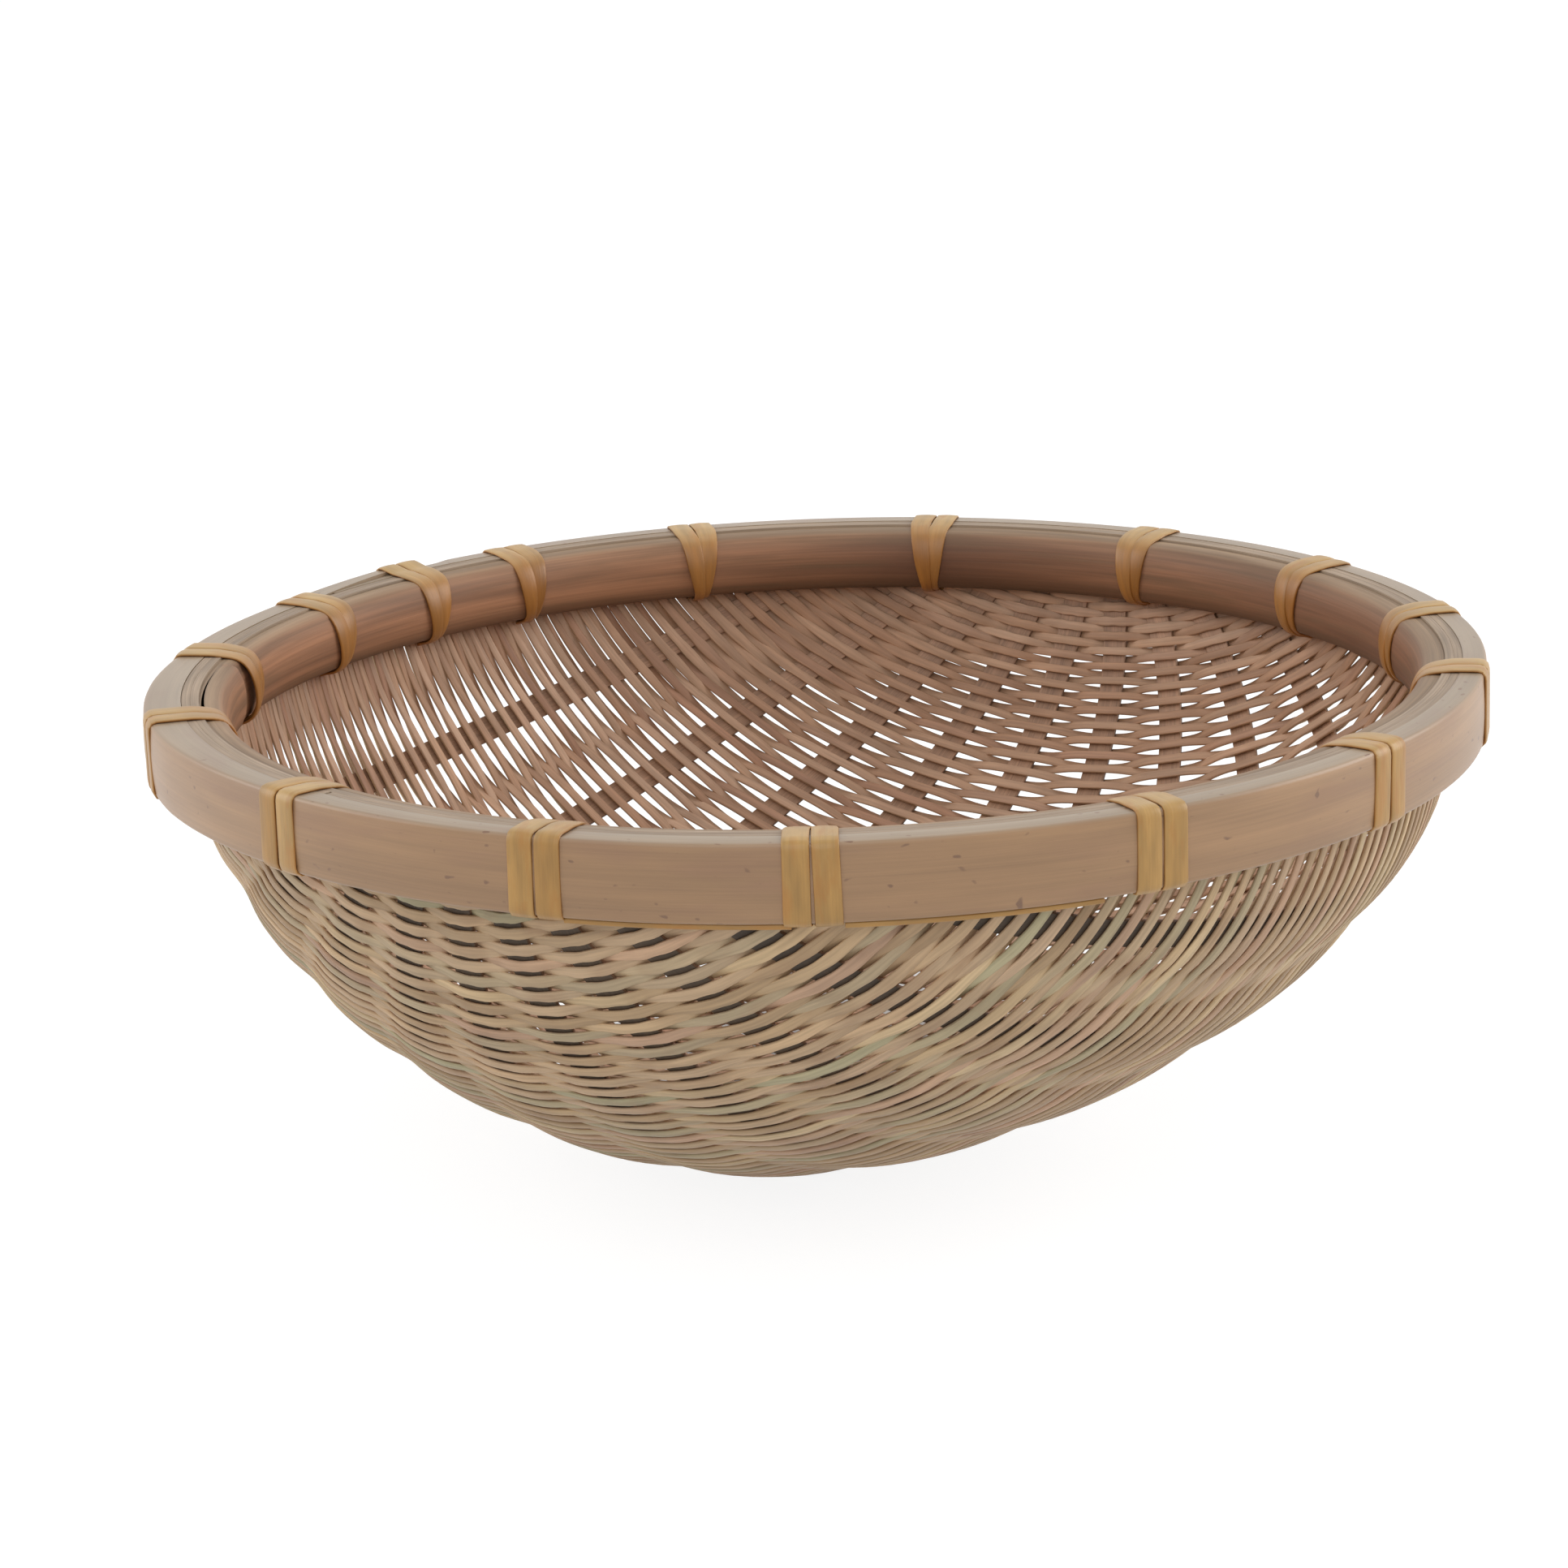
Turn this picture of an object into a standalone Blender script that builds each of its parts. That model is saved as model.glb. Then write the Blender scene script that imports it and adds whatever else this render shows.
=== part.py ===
"""Round zaru basket of split bamboo, in metres, +Z up, standing on its foot at z = 0.

The rim's centre line is the Z axis. The stakes, which are the flat ribs of the weave, run along Y.
Depths are measured downwards from the rim's top.
"""

import math

import bmesh
import bpy
from mathutils import Matrix, Vector

# Whole basket
RIM_RADIUS = 0.150
BOWL_HEIGHT = 0.115
FOOT_RADIUS = 0.0225
SIDE_POWER = 2.06
FLOOR_POWER = 1.38
LEAN = 0.0126
LEAN_ANGLE = math.radians(210)
LEAN_POWER = 2.0

# Play between pieces that touch
FIT_GAP = 0.0003

# Hoops
HOOP_HEIGHT = 0.0165
OUTER_HOOP_THICKNESS = 0.0052
OUTER_HOOP_EDGE = 0.0011
INNER_HOOP_THICKNESS = 0.0066
INNER_HOOP_DROP = 0.0007
INNER_HOOP_CROWN_POWER = 0.6
INNER_HOOP_FACETS = 4
HOOP_SEGMENTS = 64
HOOP_LAP_ANGLE = math.radians(22.5)
HOOP_LAP_TIP_SHARE = 0.3
OUTER_HOOP_LAP_START = math.radians(187)
OUTER_HOOP_LAP_RISE = 0.0020
INNER_HOOP_LAP_START = math.radians(42)

# Strips that cover the cut edge of the weave, between the hoops
EDGE_STRIP_COUNT = 2
EDGE_STRIP_HEIGHT = 0.0028
EDGE_STRIP_DROP = 0.0006
EDGE_STRIP_JOINT_GAP = 0.0008
EDGE_STRIP_JOINTS = (math.radians(40), math.radians(255))

# Weave
STAKE_WIDTH = 0.006
STAKE_THICKNESS = 0.0012
STAKE_COUNT = 10
STAKE_END_MARGIN = 0.0279
STAKE_OFFSET = 0.00425
STAKE_AXIS_RISE = 0.0252
STAKE_STATIONS = 18
WEFT_THICKNESS = 0.0008
RIB_MARGIN = 0.0008
HOLLOW_FADE_DEPTH = 0.006
SIDE_EDGE_MARGIN = math.radians(4)
RIM_SEGMENT_ANGLE = math.radians(5.5)
OPENING_ROWS = 6
OPENING_HEIGHT = 0.006
OPENING_WIDTH_SHARE = 0.6

# Bindings: each is two turns of peeled cane round both hoops, through one hole in the weave
BINDING_ANGLES = [
    math.radians(angle)
    for angle in (17, 39, 61, 83.5, 107.5, 133, 153, 165.5, 180, 200.5, 224, 252, 277.5, 299, 325.5, 350.5)
]
BINDING_WIDTH = 0.0124
BINDING_THICKNESS = 0.0009
BINDING_HOLE_WIDTH = 0.0040
BINDING_HOLE_PLAY = 0.0004
BINDING_GROOVE_WIDTH = 0.0008
BINDING_GROOVE_DEPTH = 0.0006
BINDING_CROWN_ANGLES = [math.radians(angle) for angle in (-72, -45, -15, 15, 45, 72)]

# Cane carried from one binding to the next under the outer hoop
RUN_WIDTH = 0.0030
RUN_THICKNESS = 0.0012
RUN_INSET = 0.0008
RUN_BINDINGS = ((12, 13), (13, 14))
RUN_SEGMENT_ANGLE = math.radians(4)

CUTTER_OVERRUN = 0.004

# How finely the weave's lines are worked out
SURFACE_STEPS = 240
BISECTIONS = 40
NORMAL_STEP = 0.0002
PROJECTION_REACH = 0.001
LINE_OVERRUN = 0.006

# Radial stack at the rim, from the outside in
OUTER_HOOP_BACK = RIM_RADIUS - OUTER_HOOP_THICKNESS
WEAVE_SEAT_RADIUS = OUTER_HOOP_BACK - FIT_GAP
CLOTH_AT_STAKE = STAKE_THICKNESS + 2 * FIT_GAP + 2 * WEFT_THICKNESS
RIB_SWELL = CLOTH_AT_STAKE / 2 - WEFT_THICKNESS
INNER_HOOP_BACK = WEAVE_SEAT_RADIUS - CLOTH_AT_STAKE - FIT_GAP
EDGE_STRIP_THICKNESS = (CLOTH_AT_STAKE - (EDGE_STRIP_COUNT - 1) * FIT_GAP) / EDGE_STRIP_COUNT
CLOTH_TOP_DEPTH = EDGE_STRIP_DROP + EDGE_STRIP_HEIGHT + FIT_GAP

COLOURS = {
    "hoop": (0.46, 0.32, 0.22, 1.0),
    "edge_strip": (0.40, 0.31, 0.22, 1.0),
    "cane": (0.60, 0.42, 0.16, 1.0),
    "stake": (0.38, 0.24, 0.15, 1.0),
    "weft": (0.44, 0.35, 0.23, 1.0),
}
ROUGHNESS = {"hoop": 0.55, "edge_strip": 0.6, "cane": 0.45, "stake": 0.65, "weft": 0.65}


def clear_scene():
    for obj in list(bpy.data.objects):
        bpy.data.objects.remove(obj, do_unlink=True)


def new_collection(name, hidden=False):
    collection = bpy.data.collections.new(name)
    collection.hide_render = hidden
    bpy.context.scene.collection.children.link(collection)
    return collection


def bamboo(name):
    """Principled material of one of the basket's kinds of bamboo or cane."""
    material = bpy.data.materials.get(name)
    if material is None:
        material = bpy.data.materials.new(name)
        material.use_nodes = True
        shader = material.node_tree.nodes["Principled BSDF"]
        shader.inputs["Base Color"].default_value = COLOURS[name]
        shader.inputs["Roughness"].default_value = ROUGHNESS[name]
        shader.inputs["Metallic"].default_value = 0.0
    return material


def object_from(bm, name, collection, material_name, sharp_angle=math.radians(40)):
    """Closes a bmesh into a named object, with its faces pointing out."""
    bmesh.ops.recalc_face_normals(bm, faces=bm.faces)
    mesh = bpy.data.meshes.new(name)
    bm.to_mesh(mesh)
    bm.free()
    mesh.shade_smooth()
    mesh.set_sharp_from_angle(angle=sharp_angle)
    mesh.materials.append(bamboo(material_name))
    obj = bpy.data.objects.new(name, mesh)
    collection.objects.link(obj)
    return obj


def loft(bm, sections, closed):
    """Bridges a row of sections that all have the same number of points."""
    rings = [[bm.verts.new(point) for point in section] for section in sections]
    pairs = list(zip(rings, rings[1:]))
    if closed:
        pairs.append((rings[-1], rings[0]))
    else:
        bm.faces.new(rings[0])
        bm.faces.new(rings[-1])
    for first, second in pairs:
        for i in range(len(first)):
            j = (i + 1) % len(first)
            bm.faces.new((first[i], first[j], second[j], second[i]))


def polar(radius, angle, depth):
    return Vector((radius * math.cos(angle), radius * math.sin(angle), BOWL_HEIGHT - depth))


# The bowl's surface


def side_share(depth):
    return max(1 - (depth / BOWL_HEIGHT) ** SIDE_POWER, 0.0)


def weave_radius(depth):
    """Radius of the weave's outer face, before the bowl leans: upright in the hoops, round below."""
    if depth <= HOOP_HEIGHT:
        return WEAVE_SEAT_RADIUS
    share = side_share(depth) / side_share(HOOP_HEIGHT)
    return FOOT_RADIUS + (WEAVE_SEAT_RADIUS - FOOT_RADIUS) * share ** (1 / FLOOR_POWER)


def weave_normal(point):
    """Outward normal of the weave at a point of its outer face, level along the hoops' lower edge."""
    depth = BOWL_HEIGHT - point.z
    outward = Vector((point.x, point.y, 0.0))
    if outward.length <= FOOT_RADIUS or depth >= BOWL_HEIGHT:
        return Vector((0.0, 0.0, -1.0))
    if depth <= HOOP_HEIGHT + NORMAL_STEP:
        return outward.normalized()
    low = min(depth + NORMAL_STEP, BOWL_HEIGHT)
    high = depth - NORMAL_STEP
    shrink = (weave_radius(low) - weave_radius(high)) / (low - high)
    return (outward.normalized() + Vector((0.0, 0.0, shrink))).normalized()


def onto_weave(point):
    """The point of the weave's outer face that is square to a point just off it."""
    normal = weave_normal(point)
    low, high = -PROJECTION_REACH, PROJECTION_REACH
    for _ in range(BISECTIONS):
        middle = (low + high) / 2
        tried = point + normal * middle
        if tried.z < 0 or math.hypot(tried.x, tried.y) > weave_radius(BOWL_HEIGHT - tried.z):
            high = middle
        else:
            low = middle
    return point + normal * low


def lean(point):
    """Shifts a point sideways, as the hand-made bowl hangs a little to one side of its rim."""
    share = (BOWL_HEIGHT - HOOP_HEIGHT - point.z) / (BOWL_HEIGHT - HOOP_HEIGHT)
    shift = LEAN * max(share, 0.0) ** LEAN_POWER
    return point + Vector((shift * math.cos(LEAN_ANGLE), shift * math.sin(LEAN_ANGLE), 0.0))


def middle_section():
    """(distance, radius, depth) from the bowl's centre up to the hoops, along its outer face."""
    points = [(0.0, 0.0, BOWL_HEIGHT), (FOOT_RADIUS, FOOT_RADIUS, BOWL_HEIGHT)]
    for step in range(1, SURFACE_STEPS + 1):
        turn = math.pi / 2 * step / SURFACE_STEPS
        depth = HOOP_HEIGHT + (BOWL_HEIGHT - HOOP_HEIGHT) * math.cos(turn)
        radius = weave_radius(depth)
        distance, last_radius, last_depth = points[-1]
        distance += math.hypot(radius - last_radius, depth - last_depth)
        points.append((distance, radius, depth))
    return points


def stake_distances():
    """Where the stakes cross the middle section, spread evenly from one side of the rim to the other."""
    reach = middle_section()[-1][0] - STAKE_END_MARGIN
    pitch = 2 * reach / (STAKE_COUNT - 1)
    return [STAKE_OFFSET - reach + pitch * number for number in range(STAKE_COUNT)]


def plane_slope(distance):
    """Tilt, as a tangent, of the plane that meets the middle section at this distance."""
    section = middle_section()
    for (a, radius_a, depth_a), (b, radius_b, depth_b) in zip(section, section[1:]):
        if abs(distance) <= b:
            share = (abs(distance) - a) / (b - a)
            radius = radius_a + share * (radius_b - radius_a)
            depth = depth_a + share * (depth_b - depth_a)
            return math.copysign(radius / (depth + STAKE_AXIS_RISE), distance)
    raise ValueError("the distance is past the hoops")


def deepest(slope):
    """Depth at which a stake's plane crosses the bowl's middle."""
    low, high = HOOP_HEIGHT, BOWL_HEIGHT
    for _ in range(BISECTIONS):
        middle = (low + high) / 2
        if weave_radius(middle) > abs(slope) * (middle + STAKE_AXIS_RISE):
            low = middle
        else:
            high = middle
    return low


def resampled(points, count):
    """The points of a path, count + 1 of them, spaced evenly along it."""
    lengths = [0.0]
    for a, b in zip(points, points[1:]):
        lengths.append(lengths[-1] + (b - a).length)
    found, k = [], 0
    for i in range(count + 1):
        wanted = lengths[-1] * i / count
        while k < len(points) - 2 and lengths[k + 1] < wanted:
            k += 1
        share = (wanted - lengths[k]) / (lengths[k + 1] - lengths[k])
        found.append(points[k].lerp(points[k + 1], min(share, 1.0)))
    return found


def weave_line(slope, side=0.0):
    """Stations along the weave's outer face where a tilted plane meets it, or beside that at a distance.

    The line runs from -Y to +Y, and both its ends lie on the hoops' lower edge.
    """
    bottom = deepest(slope)
    half = []
    for step in range(SURFACE_STEPS + 1):
        depth = bottom - (bottom - HOOP_HEIGHT + LINE_OVERRUN) * (step / SURFACE_STEPS) ** 2
        x = slope * (depth + STAKE_AXIS_RISE)
        y = math.sqrt(max(weave_radius(depth) ** 2 - x**2, 0.0))
        half.append(Vector((x, y, BOWL_HEIGHT - depth)))
    half[0].y = 0.0
    middle = [Vector((p.x, -p.y, p.z)) for p in reversed(half)] + half[1:]
    beside = []
    for before, point, after in zip(middle, middle[1:], middle[2:]):
        across = weave_normal(point).cross(after - before).normalized()
        beside.append(onto_weave(point + across * side))
    return resampled(below_hoops(beside), STAKE_STATIONS)


def below_hoops(points):
    """The part of a line that lies below the hoops, ended exactly on their lower edge."""
    level = BOWL_HEIGHT - HOOP_HEIGHT
    kept = [i for i, point in enumerate(points) if point.z < level]
    ends = []
    for inside, out in ((kept[0], kept[0] - 1), (kept[-1], kept[-1] + 1)):
        share = (level - points[inside].z) / (points[out].z - points[inside].z)
        end = points[inside].lerp(points[out], share)
        grown = WEAVE_SEAT_RADIUS / math.hypot(end.x, end.y)
        ends.append(Vector((end.x * grown, end.y * grown, level)))
    return [ends[0]] + points[kept[0] : kept[-1] + 1] + [ends[1]]


# Cloth of wefts


def swell_column(line):
    """Outer and inner points of the weave along one edge of the rib that it makes over a stake."""
    return line, [point - weave_normal(point) * CLOTH_AT_STAKE for point in line]


def hollow_column(line):
    """Outer and inner points of the weave between two ribs, full at the hoops and flat under the foot."""
    outer, inner = [], []
    for point in line:
        normal = weave_normal(point)
        below = (BOWL_HEIGHT - HOOP_HEIGHT - point.z) / HOLLOW_FADE_DEPTH
        hollow = RIB_SWELL * min(max(below, 0.0), 1.0)
        outer.append(point - normal * (hollow * min(point.z / HOLLOW_FADE_DEPTH, 1.0)))
        inner.append(point - normal * (CLOTH_AT_STAKE - hollow))
    return outer, inner


def side_columns(rib_edge, sign):
    """The two columns past the last rib: one half-way, and one along the hoops' lower edge itself."""
    reach = math.atan2(rib_edge[-1].y, sign * rib_edge[-1].x) - SIDE_EDGE_MARGIN
    middle, rim = [], []
    for i, point in enumerate(rib_edge):
        rim_angle = reach * (2 * i / STAKE_STATIONS - 1)
        angle = (math.atan2(point.y, sign * point.x) + rim_angle) / 2
        depth = (BOWL_HEIGHT - point.z + HOOP_HEIGHT) / 2
        for column, a, d in ((middle, angle, depth), (rim, rim_angle, HOOP_HEIGHT)):
            place = polar(weave_radius(d), a, d)
            column.append(Vector((sign * place.x, place.y, place.z)))
    return hollow_column(middle), hollow_column(rim)


def cloth_columns(slopes, hollow_slopes):
    """All columns of the weave from -X to +X, each as (outer points, inner points)."""
    half = STAKE_WIDTH / 2 + FIT_GAP + RIB_MARGIN
    columns = []
    for i, slope in enumerate(slopes):
        columns.append(swell_column(weave_line(slope, -half)))
        columns.append(swell_column(weave_line(slope, half)))
        if i < len(hollow_slopes):
            columns.append(hollow_column(weave_line(hollow_slopes[i])))
    left_middle, left_rim = side_columns(columns[0][0], -1)
    right_middle, right_rim = side_columns(columns[-1][0], 1)
    return [left_rim, left_middle] + columns + [right_middle, right_rim]


def cloth_sheet(bm, columns, side):
    """One face of the cloth: a grid laid over the columns, drawn up between the hoops along its edge.

    Returns the top edge's points, keyed by column and station.
    """
    last = len(columns) - 1
    grid = bmesh.ops.create_grid(bm, x_segments=last, y_segments=STAKE_STATIONS, size=1.0)
    place = {}
    for vert in grid["verts"]:
        i = round((vert.co.x + 1) / 2 * last)
        j = round((vert.co.y + 1) / 2 * STAKE_STATIONS)
        place[i, j] = vert
        vert.co = columns[i][side][j]
    edge_keys = [(i, 0) for i in range(last)]
    edge_keys += [(last, j) for j in range(STAKE_STATIONS)]
    edge_keys += [(i, STAKE_STATIONS) for i in range(last, 0, -1)]
    edge_keys += [(0, j) for j in range(STAKE_STATIONS, 0, -1)]
    rim = rounded_rim(bm, [place[key] for key in edge_keys])
    raised = [bm.verts.new((vert.co.x, vert.co.y, BOWL_HEIGHT - CLOTH_TOP_DEPTH)) for vert in rim]
    for k in range(len(rim)):
        n = (k + 1) % len(rim)
        bm.faces.new((rim[k], rim[n], raised[n], raised[k]))
    return raised


def rounded_rim(bm, ring):
    """The ring of points on the hoops' lower edge, with more points where two of them are far apart."""
    rim = []
    for a, b in zip(ring, ring[1:] + ring[:1]):
        start = math.atan2(a.co.y, a.co.x)
        turn = math.remainder(math.atan2(b.co.y, b.co.x) - start, 2 * math.pi)
        steps = math.ceil(abs(turn) / RIM_SEGMENT_ANGLE)
        rim.append(a)
        radius, height = math.hypot(a.co.x, a.co.y), a.co.z
        for k in range(1, steps):
            edge = bm.edges.get((rim[-1], b))
            _, vert = bmesh.utils.edge_split(edge, rim[-1], 1 / (steps - k + 1))
            angle = start + turn * k / steps
            vert.co = (radius * math.cos(angle), radius * math.sin(angle), height)
            rim.append(vert)
    return rim


def opening_cutters(bm, columns):
    """Boxes through the cloth, down the middle of each hollow, for the gaps that drain the bowl."""
    depth = CLOTH_AT_STAKE + 2 * CUTTER_OVERRUN
    for number in range(STAKE_COUNT - 1):
        middle = 4 + 3 * number
        left, hollow, right = (columns[i][0] for i in (middle - 1, middle, middle + 1))
        for row in range(OPENING_ROWS):
            j = (2 * row + 1) * STAKE_STATIONS // (2 * OPENING_ROWS) + 1
            k = j - 1
            centre = (hollow[j] + hollow[k]) / 2
            normal = weave_normal(centre)
            along = (hollow[j] - hollow[k]).normalized()
            across = along.cross(normal).normalized()
            room = ((right[j] + right[k] - left[j] - left[k]) / 2).length
            size = (across * room * OPENING_WIDTH_SHARE, along * OPENING_HEIGHT, normal * depth)
            matrix = Matrix.Translation(centre) @ Matrix(size).transposed().to_4x4()
            bmesh.ops.create_cube(bm, size=1.0, matrix=matrix)


def add_cloth(collection, columns):
    bm = bmesh.new()
    outer = cloth_sheet(bm, columns, 0)
    inner = cloth_sheet(bm, columns, 1)
    for k in range(len(outer)):
        n = (k + 1) % len(outer)
        bm.faces.new((outer[k], outer[n], inner[n], inner[k]))
    return object_from(bm, "woven_wefts", collection, "weft")


# Stakes


def stake_sections(slope, clearance, top):
    """Rectangles along a stake, grown all round by the clearance, with both ends carried up to top."""
    half = STAKE_WIDTH / 2 + clearance
    shallow = WEFT_THICKNESS + FIT_GAP - clearance
    deep = WEFT_THICKNESS + FIT_GAP + STAKE_THICKNESS + clearance
    left, right = weave_line(slope, -half), weave_line(slope, half)
    sections = []
    for a, b in zip(left, right):
        corners = ((a, shallow), (b, shallow), (b, deep), (a, deep))
        sections.append([point - weave_normal(point) * depth for point, depth in corners])
    ends = [[Vector((p.x, p.y, top)) for p in section] for section in (sections[0], sections[-1])]
    return [ends[0]] + sections + [ends[1]]


def add_stake(collection, name, slope, clearance, top):
    bm = bmesh.new()
    loft(bm, stake_sections(slope, clearance, top), closed=False)
    bmesh.ops.triangulate(bm, faces=bm.faces, quad_method="FIXED")
    return object_from(bm, name, collection, "stake")


# Hoops and the strips between them


def outer_hoop_outline(back, face, rise):
    """Flat strip with two eased outer edges, as (radius, depth) points."""
    edge = min(OUTER_HOOP_EDGE, (face - back) / 2)
    top = -rise
    return [
        (back, top),
        (face - edge, top),
        (face, top + edge),
        (face, HOOP_HEIGHT - edge),
        (face - edge, HOOP_HEIGHT),
        (back, HOOP_HEIGHT),
    ]


def crown(turn, back, thickness, margin):
    """Point of the inner hoop's half-round face, grown by a margin; turn runs from -90 to 90 degrees."""
    half_height = (HOOP_HEIGHT - INNER_HOOP_DROP) / 2
    bulge = max(math.cos(turn), 0.0) ** INNER_HOOP_CROWN_POWER
    radius = back - (thickness + margin) * bulge
    depth = INNER_HOOP_DROP + half_height + (half_height + margin) * math.sin(turn)
    return radius, depth


def inner_hoop_outline(back, face, _rise):
    """Half-round strip, flat against the weave, or the part of it that lies between two radii."""
    cut_share = (INNER_HOOP_BACK - back) / INNER_HOOP_THICKNESS
    start = math.acos(cut_share ** (1 / INNER_HOOP_CROWN_POWER))
    points = []
    for step in range(-INNER_HOOP_FACETS, INNER_HOOP_FACETS + 1):
        radius, depth = crown(start * step / INNER_HOOP_FACETS, INNER_HOOP_BACK, INNER_HOOP_THICKNESS, 0.0)
        points.append((max(radius, face), depth))
    return points


def pared_share(way):
    """Share of the hoop's thickness under the lap's joint, on the way from the hidden end to the open one."""
    return HOOP_LAP_TIP_SHARE + (1 - 2 * HOOP_LAP_TIP_SHARE) * way


def lapped_hoop(collection, name, outline, back, face, lap_start, lap_rise):
    """A strip bent into a hoop, whose two ends are pared to wedges and lie over each other."""
    step = 2 * math.pi / HOOP_SEGMENTS
    lap_steps = round(HOOP_LAP_ANGLE / step)
    room = face - back
    play = math.copysign(FIT_GAP, room)
    sections = []
    for i in range(HOOP_SEGMENTS + lap_steps + 1):
        near, far, rise = back, face, 0.0
        lap_share = pared_share((i % HOOP_SEGMENTS) / lap_steps)
        if i <= lap_steps:
            far = back + (room - play) * lap_share
        elif i >= HOOP_SEGMENTS:
            near = back + (room - play) * lap_share + play
            rise = lap_rise * lap_share
        points = outline(near, far, rise)
        sections.append([polar(radius, lap_start - i * step, depth) for radius, depth in points])
    bm = bmesh.new()
    loft(bm, sections, closed=False)
    return object_from(bm, name, collection, "hoop")


def add_edge_strip(collection, name, back, joint):
    """Thin strip standing on edge over the cut ends of the weave, bent round until its ends nearly meet."""
    outer = back + EDGE_STRIP_THICKNESS
    low = EDGE_STRIP_DROP + EDGE_STRIP_HEIGHT
    gap = EDGE_STRIP_JOINT_GAP / outer
    sections = []
    for i in range(HOOP_SEGMENTS + 1):
        angle = joint + gap / 2 + (2 * math.pi - gap) * i / HOOP_SEGMENTS
        outline = ((back, EDGE_STRIP_DROP), (outer, EDGE_STRIP_DROP), (outer, low), (back, low))
        sections.append([polar(radius, angle, depth) for radius, depth in outline])
    bm = bmesh.new()
    loft(bm, sections, closed=False)
    return object_from(bm, name, collection, "edge_strip")


# Bindings


def binding_path(rise):
    """(radius, depth, width) round both hoops: up the outside, over, down the inside and back out."""
    outer = RIM_RADIUS + FIT_GAP
    top = -rise - FIT_GAP
    bottom = HOOP_HEIGHT + FIT_GAP
    edge = OUTER_HOOP_EDGE
    full, narrow = BINDING_WIDTH, BINDING_HOLE_WIDTH
    path = [
        (outer, bottom - edge, full),
        (outer, top + edge, full),
        (outer - edge, top, full),
        (OUTER_HOOP_BACK, top, full),
    ]
    turns = BINDING_CROWN_ANGLES
    for turn in turns:
        radius, depth = crown(turn, INNER_HOOP_BACK, INNER_HOOP_THICKNESS, FIT_GAP)
        share = (turn - turns[0]) / (turns[-1] - turns[0])
        path.append((radius, depth, full + (narrow - full) * share))
    path += [
        (INNER_HOOP_BACK - FIT_GAP, bottom, narrow),
        (OUTER_HOOP_BACK + FIT_GAP, bottom, narrow),
        (outer - edge, bottom, (full + narrow) / 2),
    ]
    return path


def binding_section(angle, path, i):
    """Two flat turns side by side, as one outline with a groove, square to the path."""
    radius, depth, width = path[i]
    before, after = path[i - 1], path[(i + 1) % len(path)]
    along = Vector((after[0] - before[0], after[1] - before[1])).normalized()
    outward = Vector((-along.y, along.x))
    half, groove = width / 2, BINDING_GROOVE_WIDTH / 2
    floor = BINDING_THICKNESS - BINDING_GROOVE_DEPTH
    outline = (
        (-half, 0.0),
        (-half, BINDING_THICKNESS),
        (-groove, BINDING_THICKNESS),
        (0.0, floor),
        (groove, BINDING_THICKNESS),
        (half, BINDING_THICKNESS),
        (half, 0.0),
    )
    points = []
    for side, height in outline:
        r = radius + outward.x * height
        points.append(polar(r, angle + side / r, depth + outward.y * height))
    return points


def add_binding(collection, name, angle):
    path = binding_path(hoop_rise(angle))
    bm = bmesh.new()
    loft(bm, [binding_section(angle, path, i) for i in range(len(path))], closed=True)
    return object_from(bm, name, collection, "cane")


def hoop_rise(angle):
    """How far the outer hoop's lapped end stands above the rim where a binding at this angle crosses it."""
    half = BINDING_WIDTH / 2 / RIM_RADIUS
    way = (OUTER_HOOP_LAP_START - angle + half) / HOOP_LAP_ANGLE
    if way < 0 or way > 1 + 2 * half / HOOP_LAP_ANGLE:
        return 0.0
    return OUTER_HOOP_LAP_RISE * pared_share(min(way, 1.0))


def hole_cutter(angle):
    """Box through the weave, where one binding passes under the hoops."""
    bm = bmesh.new()
    inner = INNER_HOOP_BACK - CUTTER_OVERRUN
    outer = OUTER_HOOP_BACK + CUTTER_OVERRUN
    height = BINDING_THICKNESS + 2 * BINDING_HOLE_PLAY
    width = BINDING_HOLE_WIDTH + 2 * BINDING_HOLE_PLAY
    depth = HOOP_HEIGHT + FIT_GAP - BINDING_HOLE_PLAY + height / 2
    middle = Matrix.Translation(((inner + outer) / 2, 0.0, BOWL_HEIGHT - depth))
    size = Matrix.Diagonal((outer - inner, width, height, 1.0))
    bmesh.ops.create_cube(bm, size=1.0, matrix=Matrix.Rotation(angle, 4, "Z") @ middle @ size)
    return bm


def add_run(collection, name, first, last):
    """Cane lying under the outer hoop between two bindings."""
    inset = (BINDING_WIDTH / 2 + FIT_GAP) / RIM_RADIUS
    start, end = first + inset, last - inset
    steps = math.ceil((end - start) / RUN_SEGMENT_ANGLE)
    outer = RIM_RADIUS - RUN_INSET
    inner = outer - RUN_WIDTH
    top = HOOP_HEIGHT + FIT_GAP
    bottom = top + RUN_THICKNESS
    outline = ((inner, top), (outer, top), (outer, bottom), (inner, bottom))
    sections = []
    for i in range(steps + 1):
        angle = start + (end - start) * i / steps
        sections.append([polar(radius, angle, depth) for radius, depth in outline])
    bm = bmesh.new()
    loft(bm, sections, closed=False)
    return object_from(bm, name, collection, "cane")


def cut(obj, cutter):
    modifier = obj.modifiers.new(cutter.name, "BOOLEAN")
    modifier.operation = "DIFFERENCE"
    modifier.solver = "EXACT"
    modifier.object = cutter


def hide_cutter(obj):
    obj.hide_render = True
    obj.display_type = "WIRE"


def lean_mesh(obj):
    for vert in obj.data.vertices:
        vert.co = lean(vert.co)


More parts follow.
